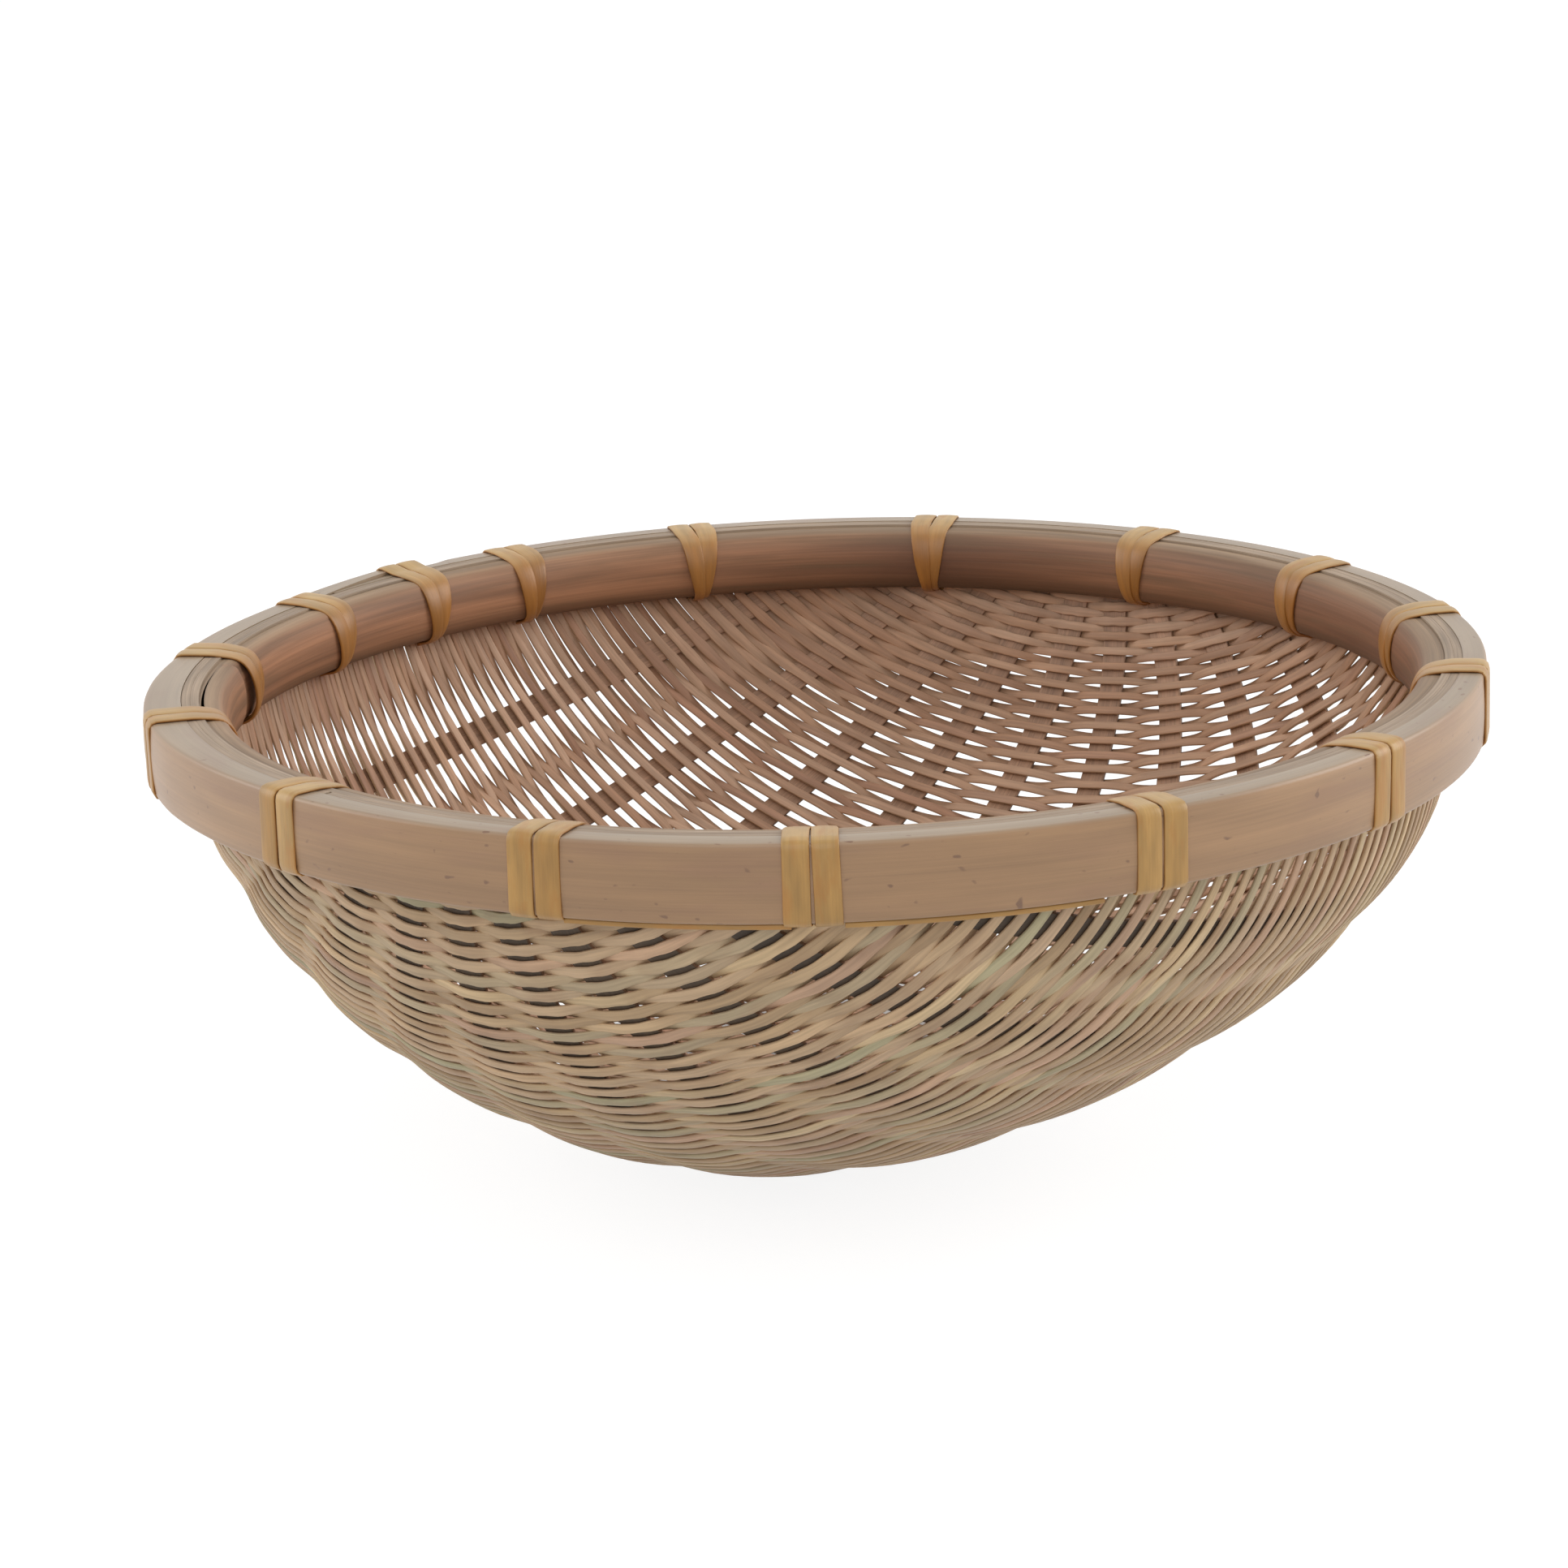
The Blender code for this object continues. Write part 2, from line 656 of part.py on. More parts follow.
def add_weave(parts, cutters):
    """The stakes, and the cloth of wefts with a tunnel round each stake and a hole for each binding."""
    distances = stake_distances()
    between = [(a + b) / 2 for a, b in zip(distances, distances[1:])]
    slopes = [plane_slope(distance) for distance in distances]
    columns = cloth_columns(slopes, [plane_slope(distance) for distance in between])
    cloth = add_cloth(parts, columns)
    boxes = bmesh.new()
    opening_cutters(boxes, columns)
    openings = object_from(boxes, "opening_cutter", cutters, "weft")
    hide_cutter(openings)
    for obj in (cloth, openings):
        lean_mesh(obj)

    holes = bmesh.new()
    for angle in BINDING_ANGLES:
        box = hole_cutter(angle)
        mesh = bpy.data.meshes.new("hole")
        box.to_mesh(mesh)
        box.free()
        holes.from_mesh(mesh)
        bpy.data.meshes.remove(mesh)
    hole_object = object_from(holes, "binding_hole_cutter", cutters, "weft")
    hide_cutter(hole_object)

    top = BOWL_HEIGHT - CLOTH_TOP_DEPTH
    for number, slope in enumerate(slopes, start=1):
        stake = add_stake(parts, f"stake_{number:02d}", slope, 0.0, top)
        tunnel = add_stake(cutters, f"tunnel_cutter_{number:02d}", slope, FIT_GAP, top + CUTTER_OVERRUN)
        for obj in (stake, tunnel):
            lean_mesh(obj)
        hide_cutter(tunnel)
        cut(cloth, tunnel)
        cut(stake, hole_object)
    cut(cloth, hole_object)
    cut(cloth, openings)


def add_rim(parts):
    """Both hoops, the edge strips between them, and the bindings that tie them to the weave."""
    lapped_hoop(
        parts,
        "outer_hoop",
        outer_hoop_outline,
        OUTER_HOOP_BACK,
        RIM_RADIUS,
        OUTER_HOOP_LAP_START,
        OUTER_HOOP_LAP_RISE,
    )
    lapped_hoop(
        parts,
        "inner_hoop",
        inner_hoop_outline,
        INNER_HOOP_BACK,
        INNER_HOOP_BACK - INNER_HOOP_THICKNESS,
        INNER_HOOP_LAP_START,
        0.0,
    )
    for number, joint in zip(range(EDGE_STRIP_COUNT), EDGE_STRIP_JOINTS):
        back = INNER_HOOP_BACK + FIT_GAP + number * (EDGE_STRIP_THICKNESS + FIT_GAP)
        add_edge_strip(parts, f"edge_strip_{number + 1:02d}", back, joint)
    for number, angle in enumerate(BINDING_ANGLES, start=1):
        add_binding(parts, f"binding_{number:02d}", angle)
    for number, (first, last) in enumerate(RUN_BINDINGS, start=1):
        add_run(parts, f"cane_run_{number:02d}", BINDING_ANGLES[first], BINDING_ANGLES[last])


def main():
    clear_scene()
    parts = new_collection("zaru_basket")
    cutters = new_collection("cutters", hidden=True)
    add_weave(parts, cutters)
    add_rim(parts)


main()
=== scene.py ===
"""Looks of the zaru basket: its split bamboo and peeled cane, strip by strip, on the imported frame.

Lengths are in metres. Depths are measured down from the top of the rim, and azimuths turn from +X
towards +Y. The stakes, which are the flat ribs of the weave, run along Y, and the wefts along X.
"""

import logging
import math
from dataclasses import dataclass
from enum import Enum
from typing import Any

import bpy
import numpy as np
from mathutils import Matrix, Vector

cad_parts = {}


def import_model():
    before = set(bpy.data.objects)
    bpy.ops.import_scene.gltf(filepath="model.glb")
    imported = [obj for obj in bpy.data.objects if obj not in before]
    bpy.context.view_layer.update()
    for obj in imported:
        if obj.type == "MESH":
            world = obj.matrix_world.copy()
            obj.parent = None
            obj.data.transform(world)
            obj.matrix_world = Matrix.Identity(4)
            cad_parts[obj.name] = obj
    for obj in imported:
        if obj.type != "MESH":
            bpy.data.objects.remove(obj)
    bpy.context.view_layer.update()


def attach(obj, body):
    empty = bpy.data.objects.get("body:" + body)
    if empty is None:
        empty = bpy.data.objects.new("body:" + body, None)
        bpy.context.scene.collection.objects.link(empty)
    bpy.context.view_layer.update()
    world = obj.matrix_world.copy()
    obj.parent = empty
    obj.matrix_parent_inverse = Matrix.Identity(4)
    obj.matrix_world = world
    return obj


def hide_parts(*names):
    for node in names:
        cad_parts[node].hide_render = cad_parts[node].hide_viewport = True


LOG = logging.getLogger("zaru")
MM = 0.001
SEED = 41
RIM_TOP = 115 * MM
HOOP_HEIGHT = 16.5 * MM
CLOUD_LOW, CLOUD_HIGH = 0.3, 0.7  # between which a noise pattern mostly stays
Tree = bpy.types.NodeTree
Piece = bpy.types.Object
Row = tuple[float, ...]
Ramp = tuple[tuple[float, str], ...]


# Colours, shader nodes and mesh helpers


def linear(code: str) -> tuple[float, float, float, float]:
    """Turns an sRGB hex colour into the linear one that shaders take.

    Args:
        code: six hex digits, with or without a leading hash.

    Returns:
        Linear red, green, blue and an alpha of 1.
    """
    values = [int(code.lstrip("#")[i : i + 2], 16) / 255 for i in (0, 2, 4)]
    red, green, blue = (v / 12.92 if v <= 0.04045 else ((v + 0.055) / 1.055) ** 2.4 for v in values)
    return red, green, blue, 1.0


def add_node(
    tree: Tree, kind: str, inputs: dict[str | int, Any] | None = None, **settings: Any
) -> bpy.types.Node:
    """Adds a shader node, sets its options, and links or fills its inputs.

    Args:
        tree: the material's node tree.
        kind: the node's type name.
        inputs: input name or number to a value, or to the output that feeds it.
        settings: attributes of the node; stops holds a ramp's (place, hex colour) pairs.

    Returns:
        The new node.
    """
    node = tree.nodes.new(kind)
    stops = settings.pop("stops", None)
    for name, value in settings.items():
        setattr(node, name, value)
    if stops:
        elements = node.color_ramp.elements
        while len(elements) < len(stops):
            elements.new(0.5)
        for element, (place, code) in zip(elements, stops):
            element.position = place
            element.color = linear(code)
    for name, value in (inputs or {}).items():
        socket = node.inputs[name]
        if isinstance(value, bpy.types.NodeSocket):
            tree.links.new(value, socket)
        else:
            socket.default_value = value
    return node


def blank_tree(owner: bpy.types.Material | bpy.types.World) -> Tree:
    """Empties the node tree of a material or a world.

    Args:
        owner: the material or world.

    Returns:
        Its tree, without a node.
    """
    owner.use_nodes = True
    owner.node_tree.nodes.clear()
    return owner.node_tree


def new_object(name: str, data: bpy.types.ID) -> Piece:
    """Puts a mesh, lamp or camera into the scene.

    Args:
        name: the object's name.
        data: what it shows.

    Returns:
        The object.
    """
    made = bpy.data.objects.new(name, data)
    bpy.context.scene.collection.objects.link(made)
    return made


def active_mesh() -> Piece:
    """Returns the object that the last operator made or worked on."""
    return bpy.context.view_layer.objects.active


def only(piece: Piece) -> None:
    """Selects one object alone and makes it active.

    Args:
        piece: the object.
    """
    for other in bpy.context.selected_objects:
        other.select_set(False)
    piece.select_set(True)
    bpy.context.view_layer.objects.active = piece


def pick_edges(piece: Piece, along: int, lowest: float = 0.99) -> None:
    """Enters edit mode with the edges that run along one axis selected, and no others.

    Args:
        piece: the mesh object.
        along: 0, 1 or 2 for X, Y or Z.
        lowest: how closely an edge has to follow the axis.
    """
    only(piece)
    bpy.ops.object.mode_set(mode="EDIT")
    bpy.ops.mesh.select_mode(type="EDGE")
    bpy.ops.mesh.select_all(action="DESELECT")
    bpy.ops.object.mode_set(mode="OBJECT")
    points = [vertex.co for vertex in piece.data.vertices]
    for edge in piece.data.edges:
        way = (points[edge.vertices[1]] - points[edge.vertices[0]]).normalized()
        edge.select = abs(way[along]) > lowest
    bpy.ops.object.mode_set(mode="EDIT")


def face_outwards(piece: Piece) -> None:
    """Turns all faces of a closed piece outwards.

    Args:
        piece: the mesh object.
    """
    only(piece)
    bpy.ops.object.mode_set(mode="EDIT")
    bpy.ops.mesh.select_all(action="SELECT")
    bpy.ops.mesh.normals_make_consistent(inside=False)
    bpy.ops.object.mode_set(mode="OBJECT")


def set_attribute(piece: Piece, name: str, values: np.ndarray) -> None:
    """Stores one number for each vertex, for a finish to read."""
    layer = piece.data.attributes.new(name, "FLOAT", "POINT")
    layer.data.foreach_set("value", np.ascontiguousarray(values, dtype=np.float32).ravel())


def unit(rows: np.ndarray) -> np.ndarray:
    """Returns directions scaled to a length of 1, whatever their number of axes."""
    return rows / np.linalg.norm(rows, axis=-1, keepdims=True)


def run_lengths(points: np.ndarray) -> np.ndarray:
    """Returns how far along a line each of its points lies."""
    steps = np.linalg.norm(np.diff(points, axis=0), axis=1)
    return np.concatenate([[0.0], np.cumsum(steps)])


def smooth_noise(
    rng: np.random.Generator, places: np.ndarray, wavelength: float, waves: int = 4
) -> np.ndarray:
    """Makes a gentle random line, as the small bends of a hand-laid strip are.

    Args:
        rng: the source of chance.
        places: distances at which the line is wanted.
        wavelength: the shortest bend, in the unit of places.
        waves: how many bends of growing length are added up.

    Returns:
        Values of about -1 to 1, one for each place.
    """
    total = np.zeros_like(places, dtype=float)
    for wave in range(waves):
        length = wavelength * (1 + 0.8 * wave)
        total += np.sin(2 * math.pi * (places / length + rng.random()))
    return total / math.sqrt(waves * 2)


# Finishes


@dataclass(frozen=True)
class BambooFinish:
    """Bamboo or cane split by hand and left raw: straight fibres, patches of age, a silky face.

    A strip's UV map runs along it in metres, so the fibres follow each bend. Its attributes are
    strand, a number of its own; inward, 0 on the face and 1 on the back; and skyward, 1 where it
    faces straight up and the finish turns paler: partly bleaching and dust, partly painted top
    light.
    """

    name: str
    face: Ramp
    back: Ramp
    # paler tone on faces that look up: partly bleaching and dust, partly painted top light
    bleach_and_toplight: str
    bleach_and_toplight_share: float = 0.5
    fibre_width: float = 0.3 * MM  # real fibres are finer; drawn as coarse as they need to show
    fibre_length: float = 16 * MM
    fibre_contrast: float = 0.2
    patch_width: float = 4 * MM
    patch_length: float = 30 * MM
    patch_contrast: float = 0.2
    speck_size: float = 0.8 * MM
    speck_length: float = 2.4 * MM
    speck_level: float = 0.0  # how high the pattern has to rise to make a speck; 0 makes none
    speck_edge: float = 0.08
    speck_colour: str = "6B533A"
    stain: str = ""  # the tone of blotches where the bamboo has taken up water or smoke
    stain_share: float = 0.5
    stain_length_share: float = 0.7  # of a patch's length and width
    stain_width_share: float = 1.3
    stain_levels: tuple[float, float] = (0.52, 0.68)
    low_shade_colour: str = ""  # painted shade: a darker tone towards the strip's lower edge, under the rim
    low_shade_share: float = 0.85
    low_shade_band: tuple[float, float] = (-HOOP_HEIGHT, -12.0 * MM)  # from darkest to untouched
    low_shade_wander: float = 1.5 * MM
    relief: float = 0.06 * MM
    roughness: float = 0.6
    sheen: float = 0.0
    sheen_roughness: float = 0.35

    def pattern(self, tree: Tree, grid: Any, length: float, width: float, detail: float) -> Any:
        """Adds a cloudy pattern that is drawn out along the strip.

        Args:
            tree: the material's node tree.
            grid: the output that gives places on the strip, in metres.
            length: the size of a cloud along the strip.
            width: its size across the strip.
            detail: how much finer structure it has.

        Returns:
            An output of about 0.3 to 0.7.
        """
        sizes = {0: grid, 1: (1 / length, 1 / width, 1)}
        scaled = add_node(tree, "ShaderNodeVectorMath", sizes, operation="MULTIPLY")
        inputs = {"Vector": scaled.outputs[0], "Scale": 1.0, "Detail": detail, "Roughness": 0.55}
        return add_node(tree, "ShaderNodeTexNoise", inputs).outputs["Fac"]

    def toned(self, tree: Tree, colour: Any, pattern: Any, contrast: float) -> Any:
        """Lightens and darkens a colour by a pattern.

        Args:
            tree: the material's node tree.
            colour: the output that gives the colour.
            pattern: the output that gives the pattern, about 0.3 to 0.7.
            contrast: how far the colour goes either way, as a share of it.

        Returns:
            The output with the toned colour.
        """
        inputs = {"Value": pattern, 1: CLOUD_LOW, 2: CLOUD_HIGH, 3: 1 - contrast, 4: 1 + contrast}
        factor = add_node(tree, "ShaderNodeMapRange", inputs).outputs["Result"]
        inputs = {0: colour, "Scale": factor}
        return add_node(tree, "ShaderNodeVectorMath", inputs, operation="SCALE").outputs[0]

    def low_shade(self, tree: Tree, patches: Any) -> Any:
        """Finds how far painted shade darkens the colour towards the lower edge of the rim,
        unevenly.

        Args:
            tree: the material's node tree.
            patches: a pattern that makes the edge of the dark band wander.

        Returns:
            The output with the share of the dark colour.
        """
        place = add_node(tree, "ShaderNodeTexCoord").outputs["Object"]
        height = add_node(tree, "ShaderNodeSeparateXYZ", {0: place}).outputs["Z"]
        reach = self.low_shade_wander
        inputs = {"Value": patches, 1: CLOUD_LOW, 2: CLOUD_HIGH, 3: reach, 4: -reach}
        wander = add_node(tree, "ShaderNodeMapRange", inputs).outputs["Result"]
        level = add_node(tree, "ShaderNodeMath", {0: height, 1: wander}).outputs["Value"]
        low, high = (RIM_TOP + depth for depth in self.low_shade_band)
        inputs = {"Value": level, 1: low, 2: high, 3: self.low_shade_share, 4: 0.0}
        return add_node(tree, "ShaderNodeMapRange", inputs).outputs["Result"]

    def build(self) -> bpy.types.Material:
        """Makes the material.

        Returns:
            Bamboo whose colour changes from strip to strip, along each strip and through it.
        """
        material = bpy.data.materials.new(self.name)
        tree = blank_tree(material)
        shader = add_node(tree, "ShaderNodeBsdfPrincipled")
        add_node(tree, "ShaderNodeOutputMaterial", {"Surface": shader.outputs["BSDF"]})
        strand, inward, skyward = (
            add_node(tree, "ShaderNodeAttribute", attribute_name=name).outputs["Fac"]
            for name in ("strand", "inward", "skyward")
        )
        uv = add_node(tree, "ShaderNodeUVMap", uv_map="along").outputs["UV"]
        # Each strip takes its fibres from a place of its own, metres from the next one's
        inputs = {0: (7.0, 3.0, 11.0), "Scale": strand}
        offset = add_node(tree, "ShaderNodeVectorMath", inputs, operation="SCALE").outputs[0]
        inputs = {0: uv, 1: offset}
        grid = add_node(tree, "ShaderNodeVectorMath", inputs, operation="ADD").outputs[0]
        fibres = self.pattern(tree, grid, self.fibre_length, self.fibre_width, detail=3.0)
        patches = self.pattern(tree, grid, self.patch_length, self.patch_width, detail=2.0)
        face = add_node(tree, "ShaderNodeValToRGB", {"Fac": strand}, stops=self.face)
        back = add_node(tree, "ShaderNodeValToRGB", {"Fac": strand}, stops=self.back)
        inputs = {0: inward, 6: face.outputs["Color"], 7: back.outputs["Color"]}
        colour = add_node(tree, "ShaderNodeMix", inputs, data_type="RGBA").outputs[2]
        # upward faces turn paler: partly bleaching and dust, partly painted top light and highlight
        inputs = {0: skyward, 1: self.bleach_and_toplight_share}
        share = add_node(tree, "ShaderNodeMath", inputs, operation="MULTIPLY").outputs["Value"]
        inputs = {0: share, 6: colour, 7: linear(self.bleach_and_toplight)}
        colour = add_node(tree, "ShaderNodeMix", inputs, data_type="RGBA").outputs[2]
        colour = self.toned(tree, colour, patches, self.patch_contrast)
        colour = self.toned(tree, colour, fibres, self.fibre_contrast)
        layers = []
        if self.stain:
            length = self.patch_length * self.stain_length_share
            width = self.patch_width * self.stain_width_share
            blots = self.pattern(tree, grid, length, width, detail=3.0)
            low, high = self.stain_levels
            inputs = {"Value": blots, 1: low, 2: high, 3: 0.0, 4: self.stain_share}
            share = add_node(tree, "ShaderNodeMapRange", inputs).outputs["Result"]
            layers.append((share, self.stain))
        # painted shade towards the rim's lower edge
        if self.low_shade_colour:
            layers.append((self.low_shade(tree, patches), self.low_shade_colour))
        if self.speck_level:
            specks = self.pattern(tree, grid, self.speck_length, self.speck_size, detail=0.0)
            inputs = {"Value": specks, 1: self.speck_level, 2: self.speck_level + self.speck_edge}
            share = add_node(tree, "ShaderNodeMapRange", inputs).outputs["Result"]
            layers.append((share, self.speck_colour))
        for share, tone in layers:
            inputs = {0: share, 6: colour, 7: linear(tone)}
            colour = add_node(tree, "ShaderNodeMix", inputs, data_type="RGBA").outputs[2]
        inputs = {"Height": fibres, "Strength": 1.0, "Distance": self.relief}
        bump = add_node(tree, "ShaderNodeBump", inputs).outputs["Normal"]
        tree.links.new(colour, shader.inputs["Base Color"])
        tree.links.new(bump, shader.inputs["Normal"])
        shader.inputs["Roughness"].default_value = self.roughness
        shader.inputs["Coat Weight"].default_value = self.sheen
        shader.inputs["Coat Roughness"].default_value = self.sheen_roughness
        return material


class Finish(Enum):
    """Every finish of the basket, each with what it gives the eye."""

    # Split bamboo wefts: khaki strands, some pink and some greenish, brown from use on the inside.
    WEFT = BambooFinish(
        name="split_bamboo_weft",
        face=(
            ((0.0, "A98D6B"), (0.2, "B49876"), (0.45, "BB9F7F"), (0.57, "A99F7E"))
            + ((0.7, "BD997D"), (0.85, "C3A780"), (1.0, "C8B08B"))
        ),
        back=((0.0, "A57C5F"), (0.35, "B38E71"), (0.7, "BE9B80"), (1.0, "9E7358")),
        bleach_and_toplight="B4937A",
        bleach_and_toplight_share=0.2,
        fibre_contrast=0.16,
        patch_contrast=0.16,
        stain="8A6448",
        stain_share=0.35,
    )
    # Stakes: flat ribs with the bamboo's skin outwards, its near-black tone partly the skin's own
    # and partly painted shade from the recesses between the raised wefts.
    STAKE = BambooFinish(
        name="split_bamboo_stake",
        face=((0.0, "3B2E21"), (1.0, "493A2A")),
        back=((0.0, "9C785F"), (1.0, "A9846A")),
        bleach_and_toplight="A88468",
        bleach_and_toplight_share=0.3,
    )
    # Outer hoop: the culm's smooth skin, pinkish beige with fine streaks and small dark specks.
    OUTER_HOOP = BambooFinish(
        name="bamboo_skin_hoop",
        face=((0.0, "9A7754"), (1.0, "9D7A57")),
        back=((0.0, "A08A70"), (1.0, "A08A70")),
        bleach_and_toplight="94816A",
        bleach_and_toplight_share=0.85,
        fibre_width=0.5 * MM,
        fibre_length=40 * MM,
        fibre_contrast=0.07,
        patch_width=6 * MM,
        patch_length=50 * MM,
        patch_contrast=0.12,
        stain="8A6550",
        stain_share=0.3,
        speck_size=1.5 * MM,
        speck_length=2.2 * MM,
        speck_level=0.79,
        speck_colour="7A5A42",
        roughness=0.45,
        sheen=0.4,
    )
    # Inner hoop: the raw inner side of the culm, reddish brown from food and handling.
    INNER_HOOP = BambooFinish(
        name="raw_bamboo_hoop",
        face=((0.0, "95694A"), (1.0, "9D7052")),
        # back: the dark brown that the face takes where shade is painted on the hoop
        back=((0.0, "64412C"), (1.0, "64412C")),
        bleach_and_toplight="8F785F",
        bleach_and_toplight_share=0.9,
        fibre_width=0.6 * MM,
        fibre_length=60 * MM,
        fibre_contrast=0.14,
        patch_width=3.2 * MM,
        patch_length=70 * MM,
        patch_contrast=0.26,
        stain="6B5138",
        # painted shade towards the lower edge, where the hoop meets the cloth
        low_shade_colour="54402C",
    )
    # Edge strips: thin bamboo on edge, its long cut fibres up.
    EDGE_STRIP = BambooFinish(
        name="bamboo_edge_strip",
        face=((0.0, "94806B"), (1.0, "9E8A74")),
        back=((0.0, "94806B"), (1.0, "9E8A74")),
        bleach_and_toplight="9A8672",
        bleach_and_toplight_share=0.8,
        fibre_width=0.4 * MM,
        fibre_length=40 * MM,
    )
    # Bindings and runs: peeled cane, its glossy straw skin outwards, paler on its upward faces,
    # partly from wear and partly as painted top light.
    CANE = BambooFinish(
        name="peeled_cane_binding",
        face=((0.0, "A2773A"), (0.5, "A98043"), (1.0, "B08A50")),
        # back: a dark brown that shows on the cane's sides as painted contact shadow along its
        # edges, and inside the bowl as painted shade
        back=((0.0, "874A08"), (1.0, "925410")),
        bleach_and_toplight="BCA26C",
        bleach_and_toplight_share=0.3,
        fibre_width=0.4 * MM,
        fibre_length=20 * MM,
        fibre_contrast=0.06,
        stain="A9702E",
        patch_width=2.6 * MM,
        patch_length=14 * MM,
        patch_contrast=0.16,
        roughness=0.42,
        sheen=0.15,
    )


# Lines that strips follow, and strips


@dataclass
class Line:
    """A line for a strip to follow, and the way the strip's face looks at each point."""

    points: np.ndarray
    faces: np.ndarray

    def __post_init__(self) -> None:
        """Works out how far along the line each point lies, and the line's direction there."""
        self.places = run_lengths(self.points)
        self.length = float(self.places[-1])
        self.ways = np.gradient(self.points, self.places, axis=0)

    def sample(self, places: np.ndarray, values: np.ndarray) -> np.ndarray:
        """Returns rows of values read at the given distances along the line."""
        return np.stack([np.interp(places, self.places, values[:, i]) for i in range(3)], axis=1)

    def carry(self, spots: np.ndarray) -> np.ndarray:
        """Bends a straight strip onto the line.

        Args:
            spots: the strip's vertices: along it, across it, and out from the line.

        Returns:
            The vertices in the frame.
        """
        points = self.sample(spots[:, 0], self.points)
        ways = unit(self.sample(spots[:, 0], self.ways))
        sides = unit(np.cross(self.sample(spots[:, 0], self.faces), ways))
        faces = np.cross(ways, sides)
        return points + sides * spots[:, 1:2] + faces * spots[:, 2:3]


@dataclass
class Strip:
    """A split strip: made straight with eased edges, then shaped and laid along a line.

    Its face swells by crown in the middle, and a segment is about the length of its quads.
    """

    name: str
    width: float
    thickness: float
    edge: float
    crown: float = 0.0
    segment: float = 4 * MM
    edge_segments: int = 3
    cross_cuts: int = 4
    smooth_angle: float = math.radians(50)

    def straight(self, length: float) -> Piece:
        """Models the strip lying along X, its face up, its back at Z 0.

        Args:
            length: the strip's length.

        Returns:
            The strip, with the UV map that its fibres follow.
        """
        half = self.thickness / 2
        bpy.ops.object.select_all(action="DESELECT")
        bpy.ops.mesh.primitive_cube_add(size=1, location=(length / 2, 0, half))
        piece = active_mesh()
        piece.name = self.name
        piece.data.name = self.name
        bpy.ops.transform.resize(value=(length, self.width, self.thickness))
        bpy.ops.object.transform_apply(location=True, rotation=True, scale=True)
        pick_edges(piece, 0)
        bpy.ops.mesh.bevel(offset=self.edge, segments=self.edge_segments, affect="EDGES")
        bpy.ops.object.mode_set(mode="OBJECT")
        # Its width is split once and its length twice, which gives about a ring for each segment
        cuts = max(int(round(math.sqrt(length / self.segment))) - 1, 1)
        for axis, number in ((1, self.cross_cuts), (0, cuts), (0, cuts)):
            pick_edges(piece, axis)
            bpy.ops.mesh.subdivide(number_cuts=number)
            bpy.ops.object.mode_set(mode="OBJECT")
        self.map_fibres(piece)
        return piece

    def map_fibres(self, piece: Piece) -> None:
        """Lays the straight strip's UV map: metres along it, and metres round its section.

        Args:
            piece: the straight strip.
        """
        mesh = piece.data
        while mesh.uv_layers:
            mesh.uv_layers.remove(mesh.uv_layers[0])
        layer = mesh.uv_layers.new(name="along")
        spots = [vertex.co for vertex in mesh.vertices]
        for polygon in mesh.polygons:
            under = polygon.normal.z < -0.5
            for loop in polygon.loop_indices:
                spot = spots[mesh.loops[loop].vertex_index]
                fold = math.copysign(self.thickness - spot.z, spot.y)
                across = spot.y + 2 * self.width if under else spot.y + fold
                layer.data[loop].uv = (spot.x, across)

    def lay(
        self, line: Line, finish: Finish, strand: float, shape: Any = None, shading: Any = None
    ) -> Piece:
        """Makes the strip and bends it onto its line.

        Args:
            line: where the middle of the strip's back runs, and which way its face looks.
            finish: what it is made of.
            strand: the strip's own number, from 0 to 1, which picks its tone.
            shape: a function that changes the straight strip's vertices before it is bent.
            shading: a function of distances along the strip that says how far the face there
                takes the back's colour, from 0 to 1, as painted shade.

        Returns:
            The finished strip.
        """
        piece = self.straight(line.length)
        count = len(piece.data.vertices)
        spots = np.empty(count * 3)
        piece.data.vertices.foreach_get("co", spots)
        spots = spots.reshape(-1, 3)
        inward = np.clip(1 - spots[:, 2] / self.thickness, 0, 1)
        # painted shade takes the face towards the back's colour
        if shading is not None:
            inward = np.maximum(inward, shading(spots[:, 0]))
        share = np.clip(spots[:, 2] / self.thickness, 0, 1)
        spots[:, 2] += self.crown * share * (1 - (2 * spots[:, 1] / self.width) ** 2)
        if shape is not None:
            spots = shape(spots)
        piece.data.vertices.foreach_set("co", line.carry(spots).ravel())
        piece.data.update()
        face_outwards(piece)
        bpy.ops.object.shade_smooth_by_angle(angle=self.smooth_angle)
        normals = np.array([vertex.normal.z for vertex in piece.data.vertices])
        set_attribute(piece, "strand", np.full(count, strand))
        set_attribute(piece, "inward", inward)
        # skyward: how far each face looks up, where the finish paints a paler tone, partly painted
        # top light
        set_attribute(piece, "skyward", np.clip(normals, 0, 1) ** 2)
        piece.data.materials.append(MATERIALS[finish])
        return piece


MATERIALS: dict[Finish, bpy.types.Material] = {}


# The bowl's form and its weave


